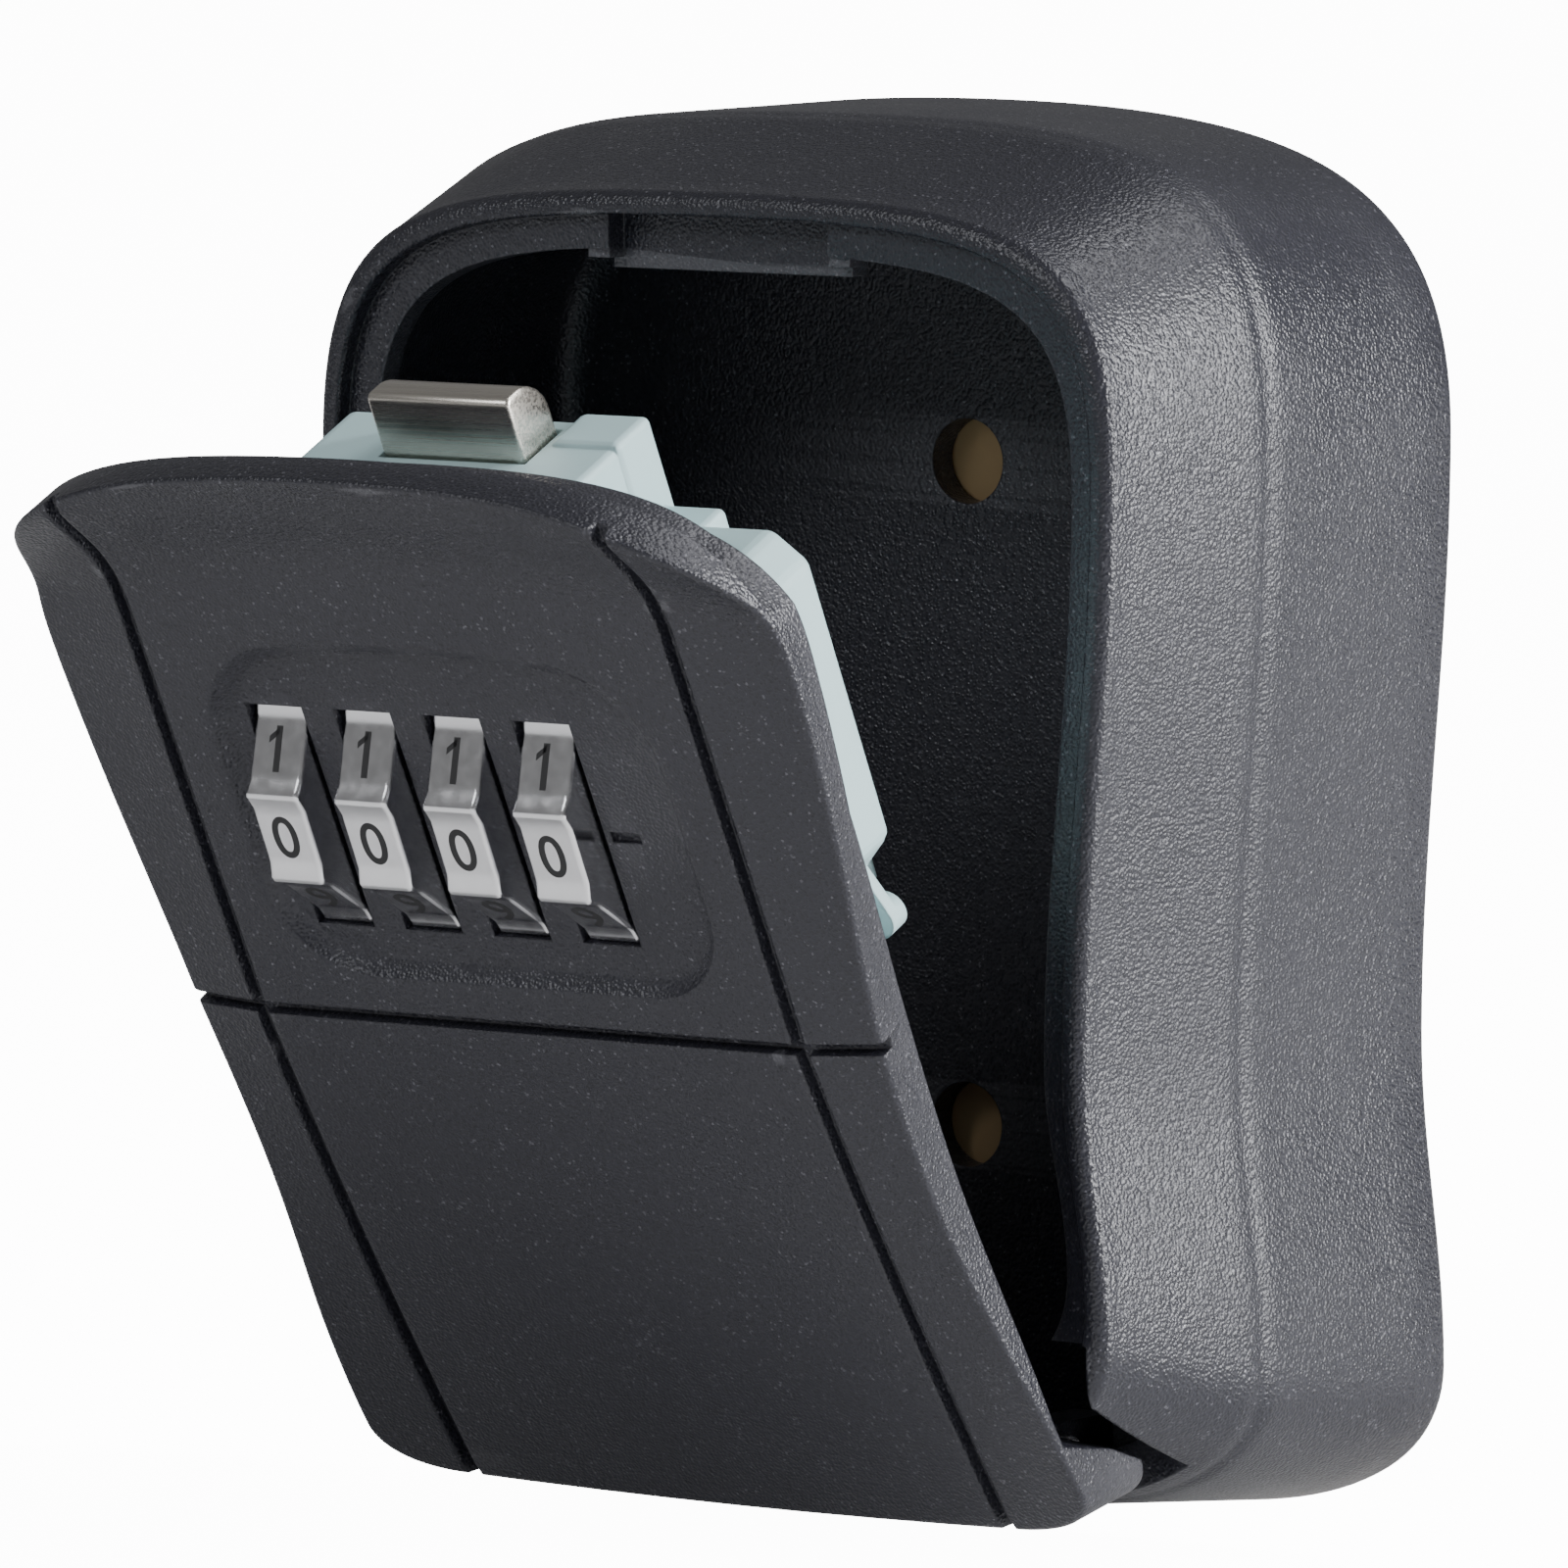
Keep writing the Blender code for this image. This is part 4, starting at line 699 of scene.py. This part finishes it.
# Works cover and reset lever: pale teal mouldings with a fine matt texture.
# The cover screws to the back of the door over the dials and the sprung slide.
def moulding(name, dark, light, rough):
    material, tree, shader = new_material(name)
    link = tree.links.new
    where = tree.nodes.new("ShaderNodeTexCoord")
    fine = node(tree, "ShaderNodeTexNoise", Scale=4000.0, Detail=3.0)
    broad = node(tree, "ShaderNodeTexNoise", Scale=70.0, Detail=3.0)
    link(where.outputs["Object"], fine.inputs["Vector"])
    link(where.outputs["Object"], broad.inputs["Vector"])
    tint = tree.nodes.new("ShaderNodeMix")
    tint.data_type = "RGBA"
    tint.inputs[6].default_value = (*dark, 1)
    tint.inputs[7].default_value = (*light, 1)
    link(broad.outputs["Fac"], tint.inputs[0])
    link(tint.outputs[2], shader.inputs["Base Color"])
    soft = node(tree, "ShaderNodeBevel", Radius=0.0004)
    raised = node(tree, "ShaderNodeBump", Strength=0.12, Distance=0.00003)
    link(soft.outputs[0], raised.inputs["Normal"])
    link(fine.outputs["Fac"], raised.inputs["Height"])
    link(raised.outputs[0], shader.inputs["Normal"])
    polish = node(tree, "ShaderNodeMapRange", To_Min=rough - 0.05, To_Max=rough + 0.05)
    link(broad.outputs["Fac"], polish.inputs["Value"])
    link(polish.outputs[0], shader.inputs["Roughness"])
    return material


def refinish(name, material):
    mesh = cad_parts[name].data
    mesh.materials.clear()
    mesh.materials.append(material)


teal = moulding("pale teal moulding", (0.44, 0.62, 0.645), (0.49, 0.675, 0.695), 0.5)
refinish("mechanism_cover", teal)
refinish("reset_lever", teal)


# Fixed small parts: hinge pin, clips, screws, hook, springs and slide in steel, code sleeves and reset spring in brass.
# The dial carrier is a black moulding and the backing pad is tan foam.
steel = metal("bright steel", (0.62, 0.62, 0.64), 0.22, 0.1, 0.2)
brass = metal("turned brass", (0.76, 0.58, 0.28), 0.24, 0.1, 0.25, (30.0, 1.0, 1.0), 120.0)
for name in ("hinge_pin", "pin_clip_left", "pin_clip_right", "key_hook", "dial_axle", "detent_spring", "lock_slide"):
    refinish(name, steel)
for name in ("cover_screw_1", "cover_screw_2", "cover_screw_3", "cover_screw_4"):
    refinish(name, steel)
for name in ("reset_spring", "code_sleeve_1", "code_sleeve_2", "code_sleeve_3", "code_sleeve_4"):
    refinish(name, brass)
refinish("dial_carrier", moulding("black moulding", (0.02, 0.02, 0.02), (0.035, 0.035, 0.037), 0.5))
refinish("backing_pad", moulding("tan backing", (0.34, 0.22, 0.11), (0.46, 0.31, 0.16), 0.85))

# Latch springs: two steel coils in front of the slide that push the bolt up.
# Each is wound from round wire and stands on the top bar of the dial carrier.
def coil(x, y, low, high, radius, wire, turns):
    """A coil of round wire that stands along Z."""
    steps = 28
    loops = []
    for n in range(turns * steps + 1):
        angle = 2 * math.pi * n / steps
        out = Vector((math.cos(angle), math.sin(angle), 0))
        centre = Vector((x, y, low + (high - low) * n / (turns * steps))) + out * radius
        ring = []
        for k in range(12):
            part = 2 * math.pi * k / 12
            ring.append(centre + wire * (out * math.cos(part) + Vector((0, 0, 1)) * math.sin(part)))
        loops.append(ring)
    bm, loops = skin(loops)
    bm.faces.new(loops[0])
    bm.faces.new(loops[-1])
    return bm


for name, x in (("left", -11.5), ("right", 6.0)):
    spring = solid(f"spring_coil_{name}", coil(x, -41.0, 31.15, 37.55, 1.9, 0.35, 5), steel, True)
    smoothed(spring, 60)
    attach(spring, "door")
    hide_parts(f"latch_spring_{name}")
    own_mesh(spring)
